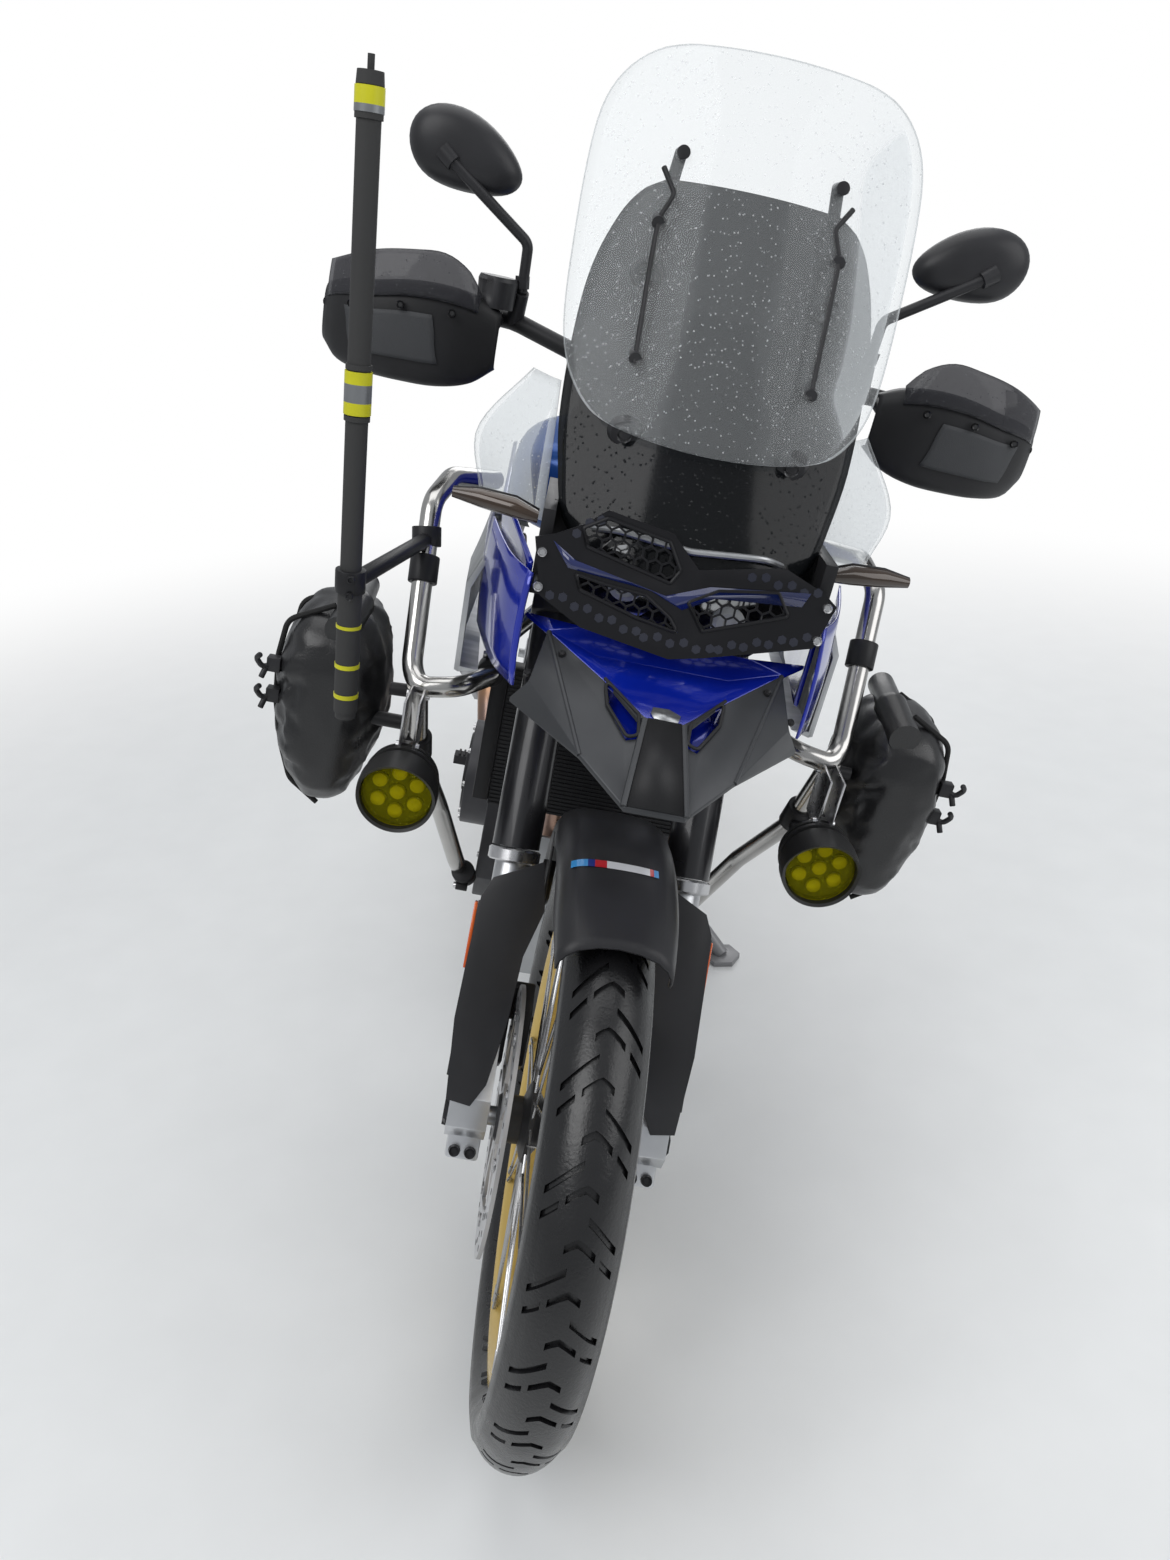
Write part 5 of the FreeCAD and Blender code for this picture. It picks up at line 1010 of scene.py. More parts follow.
        rows = [
            [heads.verts.new(spot) for spot in ring(*row)]
            for row in ((22, 0.97), (18, 1.0), (8, 0.97), (-2, 0.84), (-8, 0.6), (-10.5, 0.3))]
        for near, far in zip(rows, rows[1:]):
            for place in range(len(outline)):
                heads.faces.new((near[place - 1], near[place], far[place], far[place - 1]))
        heads.faces.new(rows[0])
        heads.faces.new(rows[-1])
        mirror(heads)
        piece("mirror_heads", heads, BARS, SATIN, smooth=2, crease=80)
        bmesh.ops.inset_region(glass, faces=[plate(glass, ring(21.6, 0.9))], thickness=2.0)
        mirror(glass)
        piece("mirror_glasses", glass, BARS, MIRROR, wall=1.5)

    def build(self) -> None:
        """Every piece at the bar."""
        self.bar()
        self.grips()
        self.handguards()
        self.mirrors()


@dataclass
class Screens:
    """The smoked screen, the clear sliding one ahead of it, and the side deflectors.

    Columns of both tables: up, half width, back at the middle, and how far the edges lie back.
    """

    main: tuple[tuple[float, ...], ...] = (
        (1000, 104, 46, 30), (1020, 124, 54, 38), (1060, 136, 71, 44), (1107, 144, 91, 48),
        (1180, 145, 123, 50), (1237, 139, 150, 48), (1285, 122, 170, 36), (1310, 104, 181, 26),
        (1322, 84, 186, 18))
    slider: tuple[tuple[float, ...], ...] = (
        (1110, 92, 78, 20), (1116, 112, 80, 28), (1130, 130, 87, 36), (1155, 146, 98, 46),
        (1190, 155, 114, 54), (1260, 159, 144, 54), (1330, 159, 173, 53), (1375, 153, 192, 48),
        (1405, 136, 204, 36), (1424, 110, 211, 22), (1432, 80, 214, 12))

    def curve(self, table: Table, part: float, turn: float) -> Vector:
        """A spot on a screen."""
        low, high = table[0][0], table[-1][0]
        share = 0.5 - 0.5 * math.cos(math.pi * turn)
        up = low + (high - low) * share
        half, back, lie = between(table, up)
        side = (part - 0.5) * 2
        bow = (1.0 - abs(side) ** 2.2) * (7.0 if share < 0.5 else -3.0) * abs(share * 2 - 1) ** 6
        return Vector((half * side, back + lie * abs(side) ** 1.7, up - bow))

    def build(self) -> None:
        """The sheets, their screws and the slider's rods."""
        for name, node, table, finish in (
                ("lower_screen", "windscreen_main", self.main, SMOKE),
                ("upper_screen", "windscreen_slider", self.slider, CLEAR)):
            shape = new_shape()
            sheet(shape, 30, 44, lambda part, turn, table=table: self.curve(table, part, turn))
            made = piece(name, shape, BASE, finish, node, wall=4.0, crease=80)
            made.modifiers["wall"].offset = -1.0 if name == "lower_screen" else 1.0
        panel = new_shape()
        sheet(
            panel, 20, 20, lambda part, turn: self.curve(self.main, 0.06 + 0.88 * part,
            0.03 + 0.42 * turn) + Vector((0, 7, 0)))
        piece("screen_backing", panel, BASE, SATIN, wall=2.0, crease=80)
        rods, screws, cups = new_shape(), new_shape(), new_shape()

        def front(table: Table, across: float, up: float) -> float:
            """How far back a spot just ahead of a screen lies."""
            half, back, lie = between(table, up)
            return back + lie * (across / half) ** 1.7 - 3

        tube(
            rods, [(across, front(self.slider, across, up), up)
            for across, up in ((84, 1166), (85, 1210), (86, 1250), (86, 1287), (76, 1310), (90, 1330))],
            2.6, 8, 10)
        for across, up in ((80.5, 1107), (86, 1240)):
            back = front(self.main, across, up)
            post(cups, (across, back, up), (across, back - 5, up - 2), 17, 13, 28)
            bolt(screws, (across, back - 4, up - 1), (0, -1, -0.3), 8)
        for across, up in ((84, 1170), (86, 1284)):
            back = front(self.slider, across, up)
            post(cups, (across, back - 3, up), (across, back + 18, up + 5), 6, sides=16)
        mirror(rods, screws, cups)
        piece("slider_rods", rods, BASE, METAL_BLACK)
        piece("screen_screws", screws, BASE, SEAL)
        piece("screen_cups", cups, BASE, SATIN)
        side_sheets = new_shape()
        table = ((1000, 142.6, 143, 214, 232), (1060, 145, 165, 226, 240), (1130, 149, 190, 178, 240))

        def wing(part: float, turn: float) -> Vector:
            """A spot on the left side deflector."""
            inner, inner_back, outer, outer_back = between(table, 1000 + 130 * turn)
            return Vector(
                (inner + (outer - inner) * part ** 0.8, inner_back + (outer_back - inner_back) * part,
                1000 + 130 * turn))

        sheet(side_sheets, 12, 12, wing)
        mirror(side_sheets)
        piece("side_deflector_sheets", side_sheets, BASE, CLEAR, "side_deflectors", wall=3.0)


@dataclass
class Nose:
    """Beak, nose panel, headlight with its honeycomb guard, indicators and side panels.

    Args:
        guard_seat: the guard's own plane.
    """

    guard_seat: Seat = Seat(
        STANCE @ Matrix.Translation((0, 0.035, 0.984)) @ Matrix.Rotation(math.radians(78.7), 4, "X"),
        Body.ROOT)

    def panels(self) -> None:
        """Painted and moulded panels, with their screws."""
        for node, finish, width in (
                ("beak", GREY_BEAK, 1.6), ("nose_panel", BLUE, 1.2), ("blue_side_panels", BLUE, 1.6),
                ("side_shrouds", BARE_SILVER, 1.6)):
            eased(node, finish, width)
        cheeks = new_shape()
        edge = ((0.0, 141, 22), (0.3, 163, 76), (0.6, 178, 140), (1.0, 194, 228))

        def cheek(part: float, turn: float) -> Vector:
            """A spot on the left cheek."""
            across, back = between(edge, part)
            return Vector(
                (across + 3 * math.sin(math.pi * turn), back + 22 * turn * (1 - part),
                868 - 14 * part + (106 + 14 * part) * turn))

        sheet(cheeks, 16, 8, cheek)
        mirror(cheeks)
        piece("nose_cheeks", cheeks, BASE, BLUE, wall=2.5)
        backing, channel, rims, folds, badge, screws = (new_shape() for _ in range(6))
        plate(backing, ((20, -52, 880), (26, -76, 860), (64, -60, 848), (72, 10, 884), (58, 16, 895)))
        mirror(backing)
        piece("beak_slot_backing", backing, BASE, BLUE, wall=1.0)
        slot = (
            (-57.7, -6.9, 903.6), (-24.1, -49.7, 892.2), (-22.4, -68.0, 879.4), (-32.5, -69.0, 876.6),
            (-52.7, -35.4, 889.6))
        tube(rims, slot + slot[:2], 1.7, 6, 10)
        mirror(rims)
        piece("beak_slot_rims", rims, BASE, MOULDED)
        # The channel sheet takes a darker finish than the beak round it: painted shade where the
        # channel faces away from the light.
        plate(channel, ((-25, -126.5, 838), (25, -126.5, 838), (15.5, -52, 891), (-15.5, -52, 891)))
        piece("beak_channel_painted_shade", channel, BASE, MOULDED, wall=1.2)
        tube(folds, ((18, -52, 889.5), (28, -126, 836.5)), 3.2, 4, 8)
        tube(folds, ((116, 49, 918.5), (71, -79, 855.0)), 2.6, 4, 8)
        mirror(folds)
        piece("beak_folds", folds, BASE, GREY_BEAK)
        plate(
            badge, ((-13, -44, 892.8), (-10, -50, 890.7), (12, -51, 890.4), (15, -40, 893.2),
            (4, -33, 895.1), (-11, -34, 894.8)))
        piece("bare_badge_spot", badge, BASE, BARE_SILVER, wall=0.8)
        bolt(screws, (100, 22, 908), (0.2, -0.5, 1), 4)
        bolt(screws, (128, 14, 886), (0.6, -0.5, 0.8), 4)
        mirror(screws)
        piece("beak_screws", screws, BASE, METAL_BLACK)

    def lamp(self) -> None:
        """A headlight with bowls behind its lens, a brow and a silver trim line."""
        eased("headlight", GLOSS_BLACK, 3.0)
        bowls, lens = new_shape(), new_shape()
        for across, up, size in ((-52, 978, 36), (52, 958, 34), (-44, 930, 20), (10, 935, 16)):
            for reach, end, back in ((1.0, 0.78, 62.0), (0.78, 0.34, 60.4)):
                post(bowls, (across, back, up), (across, back - 1.5, up), size * reach, size * end, 32)
            post(lens, (across, 57, up), (across, 52, up), size * 0.5, size * 0.34, 32)
        piece("headlight_bowls", bowls, BASE, REFLECTOR)
        piece("headlight_lenses", lens, BASE, LENS)
        brow = new_shape()
        tube(
            brow, ((-92, 78, 1018), (-72, 58, 1026), (0, 50, 1021), (72, 58, 1026), (92, 78, 1018)),
            3.4, 30, 10)
        piece("headlight_trim", brow, BASE, BARE_SILVER)

    def guard(self) -> None:
        """The honeycomb guard with its glossy band, frames round its windows and bolts."""
        eased("headlight_guard", GUARD, 0.5)
        windows = (
            ((-103, 42), (-96, 26), (-14, 8), (-7, 21), (-22, 45), (-82, 55)),
            ((-102, 0), (-95, -14), (-39, -29), (3, -36), (-8, -23), (-34, -7), (-76, -4)),
            ((6, -6), (25, -30), (102, -1), (88, 19), (32, 10)))
        frames = new_shape()
        for window in windows:
            closed = [(across, up, 2.0) for across, up in window]
            tube(frames, closed + closed[:2], 1.8, 3, 8)
        piece("guard_window_frames", frames, self.guard_seat, GUARD)
        band = new_shape()
        plate(
            band, [(*spot, 2.4) for spot in ((-128, 26), (-104, 12), (-16, -4), (24, 12), (118, 24),
            (112, 10), (30, 2), (2, -14), (-30, -2), (-110, 4))])
        piece("guard_gloss_band", band, self.guard_seat, NAVY, wall=1.0)
        holes, bolts = new_shape(), new_shape()
        for start, end, count in (
                ((-122, -24), (-36, -45), 8), ((-28, -46), (36, -48), 6), ((44, -44), (124, -20), 8),
                ((-108, 36), (-88, 52), 3), ((60, 28), (124, 22), 6)):
            for place in range(count):
                across, up = Vector(start).lerp(
                    Vector(end), place / (count - 1)) + Vector((0, 3.5 * (place % 2)))
                post(holes, (across, up, -2.1), (across, up, 2.3), 4.6, sides=6)
        piece("guard_small_holes", holes, self.guard_seat, CELL)
        for across, up in ((-136, 13.6), (136, 13.6), (-134, -18), (134, -18)):
            bolt(bolts, (across, up, 2), (0, 0, 1), 5)
        piece("guard_bolts", bolts, self.guard_seat, SEAL)

    def indicators(self) -> None:
        """Smoked indicators with a black rim."""
        lenses, rims = new_shape(), new_shape()
        upright = Matrix.Rotation(math.pi / 2, 4, "Y")
        rows = (
            (146, 104, 1012, 8, 6), (170, 112, 1015, 12, 10), (205, 120, 1016, 11, 9),
            (233, 126, 1015, 5, 5))
        for near, far in zip(rows, rows[1:]):
            for shape, grow, shift in ((lenses, 1.0, 0.0), (rims, 1.12, 2.0)):
                verts = []
                for across, back, up, wide, high in (near, far):
                    place = Matrix.Translation((across, back + shift, up)) @ upright
                    size = Matrix.Diagonal((high * grow, wide * grow, 1, 1))
                    verts += bmesh.ops.create_circle(
                        shape, segments=20, radius=1.0, matrix=place @ size)["verts"]
                bmesh.ops.bridge_loops(
                    shape, edges=list({edge for vert in verts for edge in vert.link_edges}))
        for shape in (lenses, rims):
            bmesh.ops.remove_doubles(shape, verts=shape.verts, dist=0.05)
            bmesh.ops.holes_fill(shape, edges=shape.edges)
        for vert in rims.verts:
            vert.co.y = max(vert.co.y, 112.0 + (vert.co.x - 146) * 0.14)
        mirror(lenses, rims)
        piece("indicator_lenses", lenses, BASE, AMBER_SMOKE, "indicators", crease=60)
        piece("indicator_rims", rims, BASE, METAL_BLACK, crease=60)

    def dash(self) -> None:
        """The instrument panel with its glass."""
        eased("instrument_panel", SATIN, 4.0)
        glass = new_shape()
        slab(glass, (-74, 311.5, 1110), (74, 313, 1200))
        soften(glass, 0.6)
        piece("instrument_glass", glass, BASE, DIAL)

    def build(self) -> None:
        """Every piece of the nose."""
        self.panels()
        self.lamp()
        self.guard()
        self.indicators()
        self.dash()


# The bags' cloth: its mesh size in metres, which is also the most it moves, and its frames
CLOTH_STEP, CLOTH_TICKS = 0.006, 15


@dataclass
class CrashBars:
    """Polished bars with clamps, lamps, bags and the camera pole.

    Args:
        upper: the left upper bar.
        lower: the left lower bar.
        lamp: middle of the left lamp's glass.
    """

    upper: tuple[Row, ...] = (
        (96.8, 640, 815), (96.8, 570, 805), (168, 440, 760), (172, 300, 762), (205, 240, 764),
        (250, 240, 756), (264, 262, 770), (276, 360, 945), (262, 420, 965), (214.2, 520, 950))
    lower: tuple[Row, ...] = (
        (252, 243, 757), (245, 300, 640), (215, 395, 520), (180, 452, 400), (162.8, 545, 315),
        (162.8, 575, 300))
    lamp: Row = (249.0, 145.0, 661.0)

    def bars(self) -> None:
        """Smoothly bent tubes, their clamps and screws."""
        shape = new_shape()
        tube(shape, self.upper, 12.4, 42, 24)
        tube(shape, self.lower, 12.4, 60, 24)
        mirror(shape)
        piece("crash_bar_tubes", shape, BASE, POLISHED, "crash_bars", crease=60)
        clamps, screws = new_shape(), new_shape()
        for start, end in (
                ((172, 330, 762), (172, 306, 762)), ((247, 285, 672), (245, 300, 640)),
                ((270, 312, 858), (272, 328, 886)), ((168, 470, 374), (164, 500, 348))):
            post(clamps, start, end, 17.5, sides=28)
            first, last, half = Vector(start), Vector(end), Vector((9, 0, 0))
            ear = (first + last) / 2 + (last - first).cross(half).normalized() * 20
            post(clamps, ear - half, ear + half, 7, sides=14)
            bolt(screws, ear + half, (1, 0, 0), 5)
        soften(clamps, 1.2, 50)
        mirror(clamps, screws)
        piece("crash_bar_clamps", clamps, BASE, METAL_BLACK, crease=45)
        piece("crash_bar_screws", screws, BASE, SEAL)

    def lamps(self) -> None:
        """Round lamps: a finned housing with a visor, bowls of painted highlight on plates of painted
        shade behind a yellow glass, and a bracket.
        """
        across, back, up = self.lamp
        housing, glass, bowls, bracket, plates = (new_shape() for _ in range(5))
        axis = Matrix.Translation((across, back, up)) @ Matrix.Rotation(-math.pi / 2, 4, "Z")
        profile = (
            (16, 40), (-7, 41.5), (-9, 45), (0, 46), (14, 46), (16, 44), (24, 44), (25, 38), (30, 38),
            (31, 44), (36, 44), (37, 37), (42, 37), (43, 42), (48, 42), (49, 34), (58, 30), (62, 18),
            (62, 0.5), (16, 0.5))
        turned = lathe(housing, [(-place, radius) for place, radius in profile], 56)
        for vert in turned:
            if vert.co.x > 6:
                vert.co.x += 13.0 * max(0.0, vert.co.z / 45.0)
        bmesh.ops.transform(housing, matrix=axis, verts=turned)
        disc = lathe(
            glass, ((-0.5, 40.2), (1.5, 40.0), (2.0, 20), (2.2, 0.4), (1.2, 0.4), (1.0, 20)), 48)
        bmesh.ops.transform(glass, matrix=axis, verts=disc)
        # The bowls carry painted highlight and the plates round them painted shade, behind the yellow
        # glass.
        for spot in (Vector(), *(around(0, 24.5, 60 * turn) for turn in range(6))):
            side, high = across + spot.y, up + spot.z
            for shape, reach, end, near, far in (
                    (bowls, 9.6, 8.4, 8.0, 4.0), (bowls, 8.4, 4.0, 4.0, 2.4),
                    (plates, 11.4, 10.6, 9.0, 6.0)):
                post(shape, (side, back + near, high), (side, back + far, high), reach, end, 22)
        post(plates, (across, back + 10, up), (across, back + 7.5, up), 39.8, sides=48)
        slab(bracket, (across - 8, back + 32, up + 36), (across + 8, back + 60, up + 41))
        for edge in (-9.5, 6.5):
            slab(bracket, (across + edge, back + 36, up + 30), (across + edge + 3, back + 96, up + 98))
        soften(bracket, 1.0)
        for shift in (40, 86):
            for side in (1, -1):
                bolt(bracket, (across + side * 9.5, back + shift + 6, up + shift), (side, 0, 0), 5)
        mirror(housing, glass, bowls, bracket, plates)
        piece("lamp_plates", plates, BASE, SHADE_YELLOW, crease=40)
        piece("lamp_housings", housing, BASE, LAMP_BODY, "aux_lamps", crease=35)
        piece("lamp_glasses", glass, BASE, YELLOW_GLASS, crease=40)
        piece("lamp_bowls", bowls, BASE, HIGHLIGHT_YELLOW, crease=50)
        piece("lamp_brackets", bracket, BASE, BRACKET)

    def bags(self) -> None:
        """Slack roll bags: a padded shell each, with straps, buckles and a rolled top."""
        for name, across, side in (("left", 345.0, 1.0), ("right", -362.0, -1.0)):
            table = ((235, 560, 40, 690, 68, 815, 45), (400, 540, 45, 690, 74, 830, 50))

            def shell(part: float, turn: float, across: float = across) -> Vector:
                """A spot on the bag."""
                back = 241 + (394 - 241) * part
                low, half_low, middle, half_middle, high, half_high = [
                    near + (far - near) * part for near, far in zip(table[0][1:], table[1][1:])]
                angle = 2 * math.pi * turn
                rise = math.sin(angle)
                reach = (high - middle if rise > 0 else middle - low) - 6
                up = middle + reach * math.copysign(abs(rise) ** 0.8, rise)
                half = (half_middle - 7) * abs(math.cos(angle)) ** 0.6 * min(1.0, 0.96 + 0.28 * rise)
                bend = up * 0.034 + 3.4 * part + 1.5 * math.sin(6 * part + up * 0.017)
                crease = 7.0 * (1.0 - abs(math.sin(bend))) ** 2 - 2.0
                crease += 4.0 * (
                    1.0 - abs(math.sin(up * 0.06 - 7.5 * part + 2.0 * math.sin(angle)))) ** 2
                ends = 1.0 - 0.22 * abs(2 * part - 1) ** 4
                return Vector(
                    (across + math.copysign(half, math.cos(angle)) * ends + crease * 0.8,
                    back + crease * 0.5, middle + (up - middle) * ends))

            shape = new_shape()
            sheet(shape, 34, 72, shell)
            bmesh.ops.remove_doubles(shape, verts=shape.verts, dist=0.6)
            bmesh.ops.holes_fill(shape, edges=shape.edges)
            bag = piece(f"{name}_bag_shell", shape, BASE, BAG, "side_bags", crease=180)
            self.fill(bag)
            trim, hooks = new_shape(), new_shape()
            for back in (278, 352):
                tube(
                    trim, [(across + side * out, back, up)
                    for out, up in ((0, 822), (54, 794), (62, 748), (61, 690), (51, 630), (37, 585),
                    (0, 557))], 3.4, 24, 8)
            roll = new_shape()
            tube(
                roll, ((across - side * 14, 246, 803), (across - side * 18, 320, 814),
                (across - side * 14, 394, 816)), lambda part: 19.0 + 2.2 * math.sin(31 * part)
                + 1.4 * math.sin(67 * part), 60, 24)
            piece(f"{name}_bag_roll", roll, BASE, BAG, crease=70)
            for back, up in ((262, 742), (268, 700)):
                base = across + side * 62
                tube(
                    hooks, ((base, back, up), (base + side * 12, back - 8, up - 4),
                    (base + side * 19, back - 12, up + 8), (base + side * 13, back - 16, up + 15)), 3.4,
                    8, 10)
                tube(
                    hooks, ((base + side * 8, back - 4, up - 3),
                    (base + side * 12, back - 12, up - 16)), 3.6, 5, 10)
                slab(hooks, (base - 8, back - 7, up - 9), (base + 8, back + 7, up + 9))
            piece(f"{name}_bag_straps", trim, BASE, STRAP)
            soften(hooks, 1.2, 60)
            piece(f"{name}_bag_buckles", hooks, BASE, SATIN)
        held = new_shape()
        for side, across in ((1, 345), (-1, -362)):
            tube(held, ((side * 252, 276, 690), (across, 276, 690)), 9)
            tube(held, ((side * 250, 262, 740), (side * 285, 262, 738)), 8)
        piece("bag_holders", held, BASE, METAL_BLACK)

    def fill(self, bag: Object) -> None:
        """Blow the bag out a little as cloth, then keep the result."""
        remesh = bag.modifiers.new("remesh", "REMESH")
        remesh.mode = "VOXEL"
        remesh.voxel_size = CLOTH_STEP
        keep_modifier_result(bag)
        rest = [vert.co.copy() for vert in bag.data.vertices]
        cloth = bag.modifiers.new("cloth", "CLOTH")
        cloth.settings.use_pressure = True
        cloth.settings.uniform_pressure_force = 2.5
        cloth.settings.effector_weights.gravity = 0.0
        cloth.settings.quality = 4
        scene = bpy.context.scene
        for tick in range(CLOTH_TICKS):
            scene.frame_set(tick + 1)
        keep_modifier_result(bag)
        scene.frame_set(1)
        for vert, start in zip(bag.data.vertices, rest):
            move = vert.co - start
            if move.length > CLOTH_STEP:
                vert.co = start + move.normalized() * CLOTH_STEP
        bag.data.shade_smooth()

    def pole(self) -> None:
        """The camera pole with its bands, rings, collar and clamps."""
        foot, top = Vector((-312, 120, 757)), Vector((-349, 120, 1348))

        def at(share: float) -> Vector:
            """A spot along the pole."""
            return foot + (top - foot) * share

        shape = new_shape()
        post(shape, at(0.0), at(0.985), 10.8, sides=32)
        post(shape, at(0.982), at(1.0), 12.2, 11.4, 32)
        post(shape, at(0.012), at(0.235), 12.4, sides=32)
        for share in (0.52, 0.598, 0.94):
            post(shape, at(share), at(share + 0.008), 12.4, sides=32)
        post(shape, top, top + (top - foot).normalized() * 12, 3.1, sides=14)
        piece("pole_tube", shape, BASE, POLE_BLACK, "camera_pole")
        for name, finish, spans in (
                ("pole_yellow_bands", BAND_YELLOW, ((0.530, 0.549), (0.577, 0.596), (0.958, 0.981),
                (0.040, 0.048), (0.097, 0.105), (0.171, 0.177))),
                ("pole_grey_bands", BAND_GREY, ((0.549, 0.577), (0.948, 0.958)))):
            bands = new_shape()
            for low, high in spans:
                post(bands, at(low), at(high), 13.0, sides=32)
            piece(name, bands, BASE, finish)
        clamp = new_shape()
        post(clamp, at(0.235), at(0.275), 15.5, sides=28)
        tube(clamp, ((-321, 120, 905), (-273.3, 338, 905)), 8.8, 20, 18)
        post(clamp, (-273.3, 338, 895), (-277, 345, 917), 17.5, sides=28)
        for spot in ((-318, 104, 896), (-318, 104, 914)):
            bolt(clamp, spot, (0, -1, 0), 4.5)
        soften(clamp, 1.0, 60)
        piece("pole_clamp", clamp, BASE, METAL_BLACK)

    def build(self) -> None:
        """Every piece on the bars."""
        self.bars()
        self.lamps()
        self.bags()
        self.pole()


def keep_modifier_result(item: Object) -> None:
    """Write what an object's modifiers make into its own mesh, and drop them."""
    depsgraph = bpy.context.evaluated_depsgraph_get()
    made = bpy.data.meshes.new_from_object(item.evaluated_get(depsgraph), depsgraph=depsgraph)
    item.modifiers.clear()
    for material in item.data.materials:
        if material.name not in [kept.name for kept in made.materials if kept]:
            made.materials.append(material)
    item.data = made


CHAIN_PITCH = 15.875


@dataclass
class RunningGear:
    """Engine, frame, exhaust, swingarm, chain and stand."""

    def engine(self) -> None:
        """The engine block with ribs, covers and bolts."""
        eased("engine_block", ENGINE, 2.5)
        ribs, bolts, caps = new_shape(), new_shape(), new_shape()
        for up in range(8):
            height = 516 + up * 15
            lean = (height - 495) * -0.26
            slab(ribs, (-127, 552 + lean, height), (127, 760 + lean * 0.8, height + 3))
        for side, back, up, radius, count in ((-196, 800, 378, 84, 9), (184, 640, 368, 66, 8)):
            way = -1 if side < 0 else 1
            for place in range(count):
                bolt(
                    bolts, Vector((0, back, up)) + around(side, radius, 360 / count * place),
                    (way, 0, 0), 5)
            for reach, depth in ((radius - 14, 4), (radius * 0.45, 7)):
                post(caps, (side, back, up), (side + way * depth, back, up), reach, reach - 3, 48)
        for across in (-104, 0, 104):
            for back in (540, 700):
                bolt(bolts, (across, back, 716 + (back - 540) * 0.08), (0, 0, 1), 6)
        for side in SIDES:
            for back, up in ((600, 290), (700, 270), (860, 280), (920, 440), (860, 520), (580, 480)):
                bolt(bolts, (side * 150, back, up), (side, 0, 0), 5)
        piece("cylinder_ribs", ribs, BASE, ENGINE)
        piece("engine_bolts", bolts, BASE, SPOKE)
        piece("engine_cover_caps", caps, BASE, METAL_BLACK)

    def cooler(self) -> None:
        """The radiator with fins and a mesh of tubes."""
        eased("radiator", METAL_BLACK, 2.0)
        fins = new_shape()
        for row in range(34):
            slab(fins, (-149, 422.6, 523 + row * 6.1), (149, 424.2, 525 + row * 6.1))
        for column in range(24):
            slab(fins, (-148 + column * 12.6, 423.2, 521), (-146.8 + column * 12.6, 424.6, 729))
        piece("radiator_fins", fins, BASE, METAL_BLACK)

    def exhaust(self) -> None:
        """Bent heat-tinted headers and the silencer with its caps and clamp."""
        shape = new_shape()
        tube(
            shape, ((-48, 528, 672), (-48, 480, 650), (-43, 478, 420), (-34, 522, 240),
            (-44, 622, 222)), 18.8, 60, 24)
        tube(
            shape, ((48, 528, 672), (48, 480, 650), (43, 478, 420), (34, 522, 240), (4, 622, 222),
            (-44, 700, 222)), 18.8, 60, 24)
        tube(
            shape, ((-44, 610, 222), (-70, 780, 217), (-124, 930, 222), (-176, 1090, 312),
            (-192, 1150, 382), (-195, 1188, 383)), 23.8, 80, 24)
        piece("header_pipes", shape, BASE, COPPER, "exhaust_header", crease=50)
        rings = new_shape()
        post(rings, (48, 500, 659), (48, 511, 664), 25, sides=32)
        mirror(rings)
        post(rings, (-70, 780, 217), (-76, 800, 217.6), 27, sides=32)
        post(rings, (-194, 1170, 383), (-195, 1184, 383), 28, sides=32)
        piece("exhaust_clamps", rings, BASE, STEEL)
        eased("silencer", STEEL, 6.0)
        seams = new_shape()
        for back in (1262, 1630):
            low, high = 372 + (back - 1260) * 0.26316, 492 + (back - 1260) * 0.2958
            ring = [
                (across, back, up) for across, up in ((-262, low), (-184, low),
                (-172, (low + high) / 2), (-184, high), (-262, high), (-277, (low + high) / 2))]
            tube(seams, ring + ring[:2], 2.6, 8, 8)
        piece("silencer_seams", seams, BASE, METAL_BLACK)

    def frame_pieces(self) -> None:
        """Frame, swingarm, skid plate, shock and pegs."""
        for node, finish, width in (
                ("main_frame", FRAME, 2.0), ("swingarm", ALLOY, 3.0), ("skid_plate", ALLOY, 0.8),
                ("rear_caliper", METAL_BLACK, 3.0), ("screen_bracket", METAL_BLACK, 1.5)):
            eased(node, finish, width)
        tubes = new_shape()
        for route in (
                ((95.3, 860, 742), (95.3, 1000, 822), (95.3, 1250, 822), (70, 1520, 862)),
                ((95.3, 985, 560), (95.3, 1120, 700), (91.3, 1320, 826))):
            tube(tubes, route, 10.9, 60, 20)
        mirror(tubes)
        for across, back, up in ((95.3, 1060, 822), (90.6, 1300, 829.4)):
            tube(tubes, ((-across, back, up), (across, back, up)), 10.9, 10, 20)
        piece("subframe_tubes", tubes, BASE, FRAME, "rear_subframe")
        spring, strut = new_shape(), new_shape()
        foot, top = Vector((0, 1112, 434.7)), Vector((0, 925, 640))
        way, side = (top - foot).normalized(), Vector((1, 0, 0))
        up = way.cross(side).normalized()
        coils = []
        for step in range(118):
            turn = around(0, 27, 20 * step)
            coils.append(foot + way * (40 + 150 * step / 118) + side * turn.z + up * turn.y)
        tube(spring, coils, 5.0, 1.0, 10)
        piece("shock_spring", spring, BASE, WHITE, "rear_shock")
        post(strut, foot, top - way * 17, 11.5, sides=24)
        post(strut, foot + way * 34, foot + way * 40, 32, sides=32)
        post(strut, foot + way * 188, top - way * 52, 32, 24, 32)
        piece("shock_body", strut, BASE, METAL_BLACK)
        pegs = new_shape()
        for place in range(9):
            slab(pegs, (150 + place * 9, 973, 318), (154 + place * 9, 997, 322.5))
        slab(pegs, (146, 972, 300), (234, 998, 318))
        post(pegs, (84.4, 985, 308), (150, 985, 308), 11.8, sides=20)
        mirror(pegs)
        soften(pegs, 0.8, 50, 1)
        piece("footpeg_treads", pegs, BASE, METAL_BLACK, "footpegs")

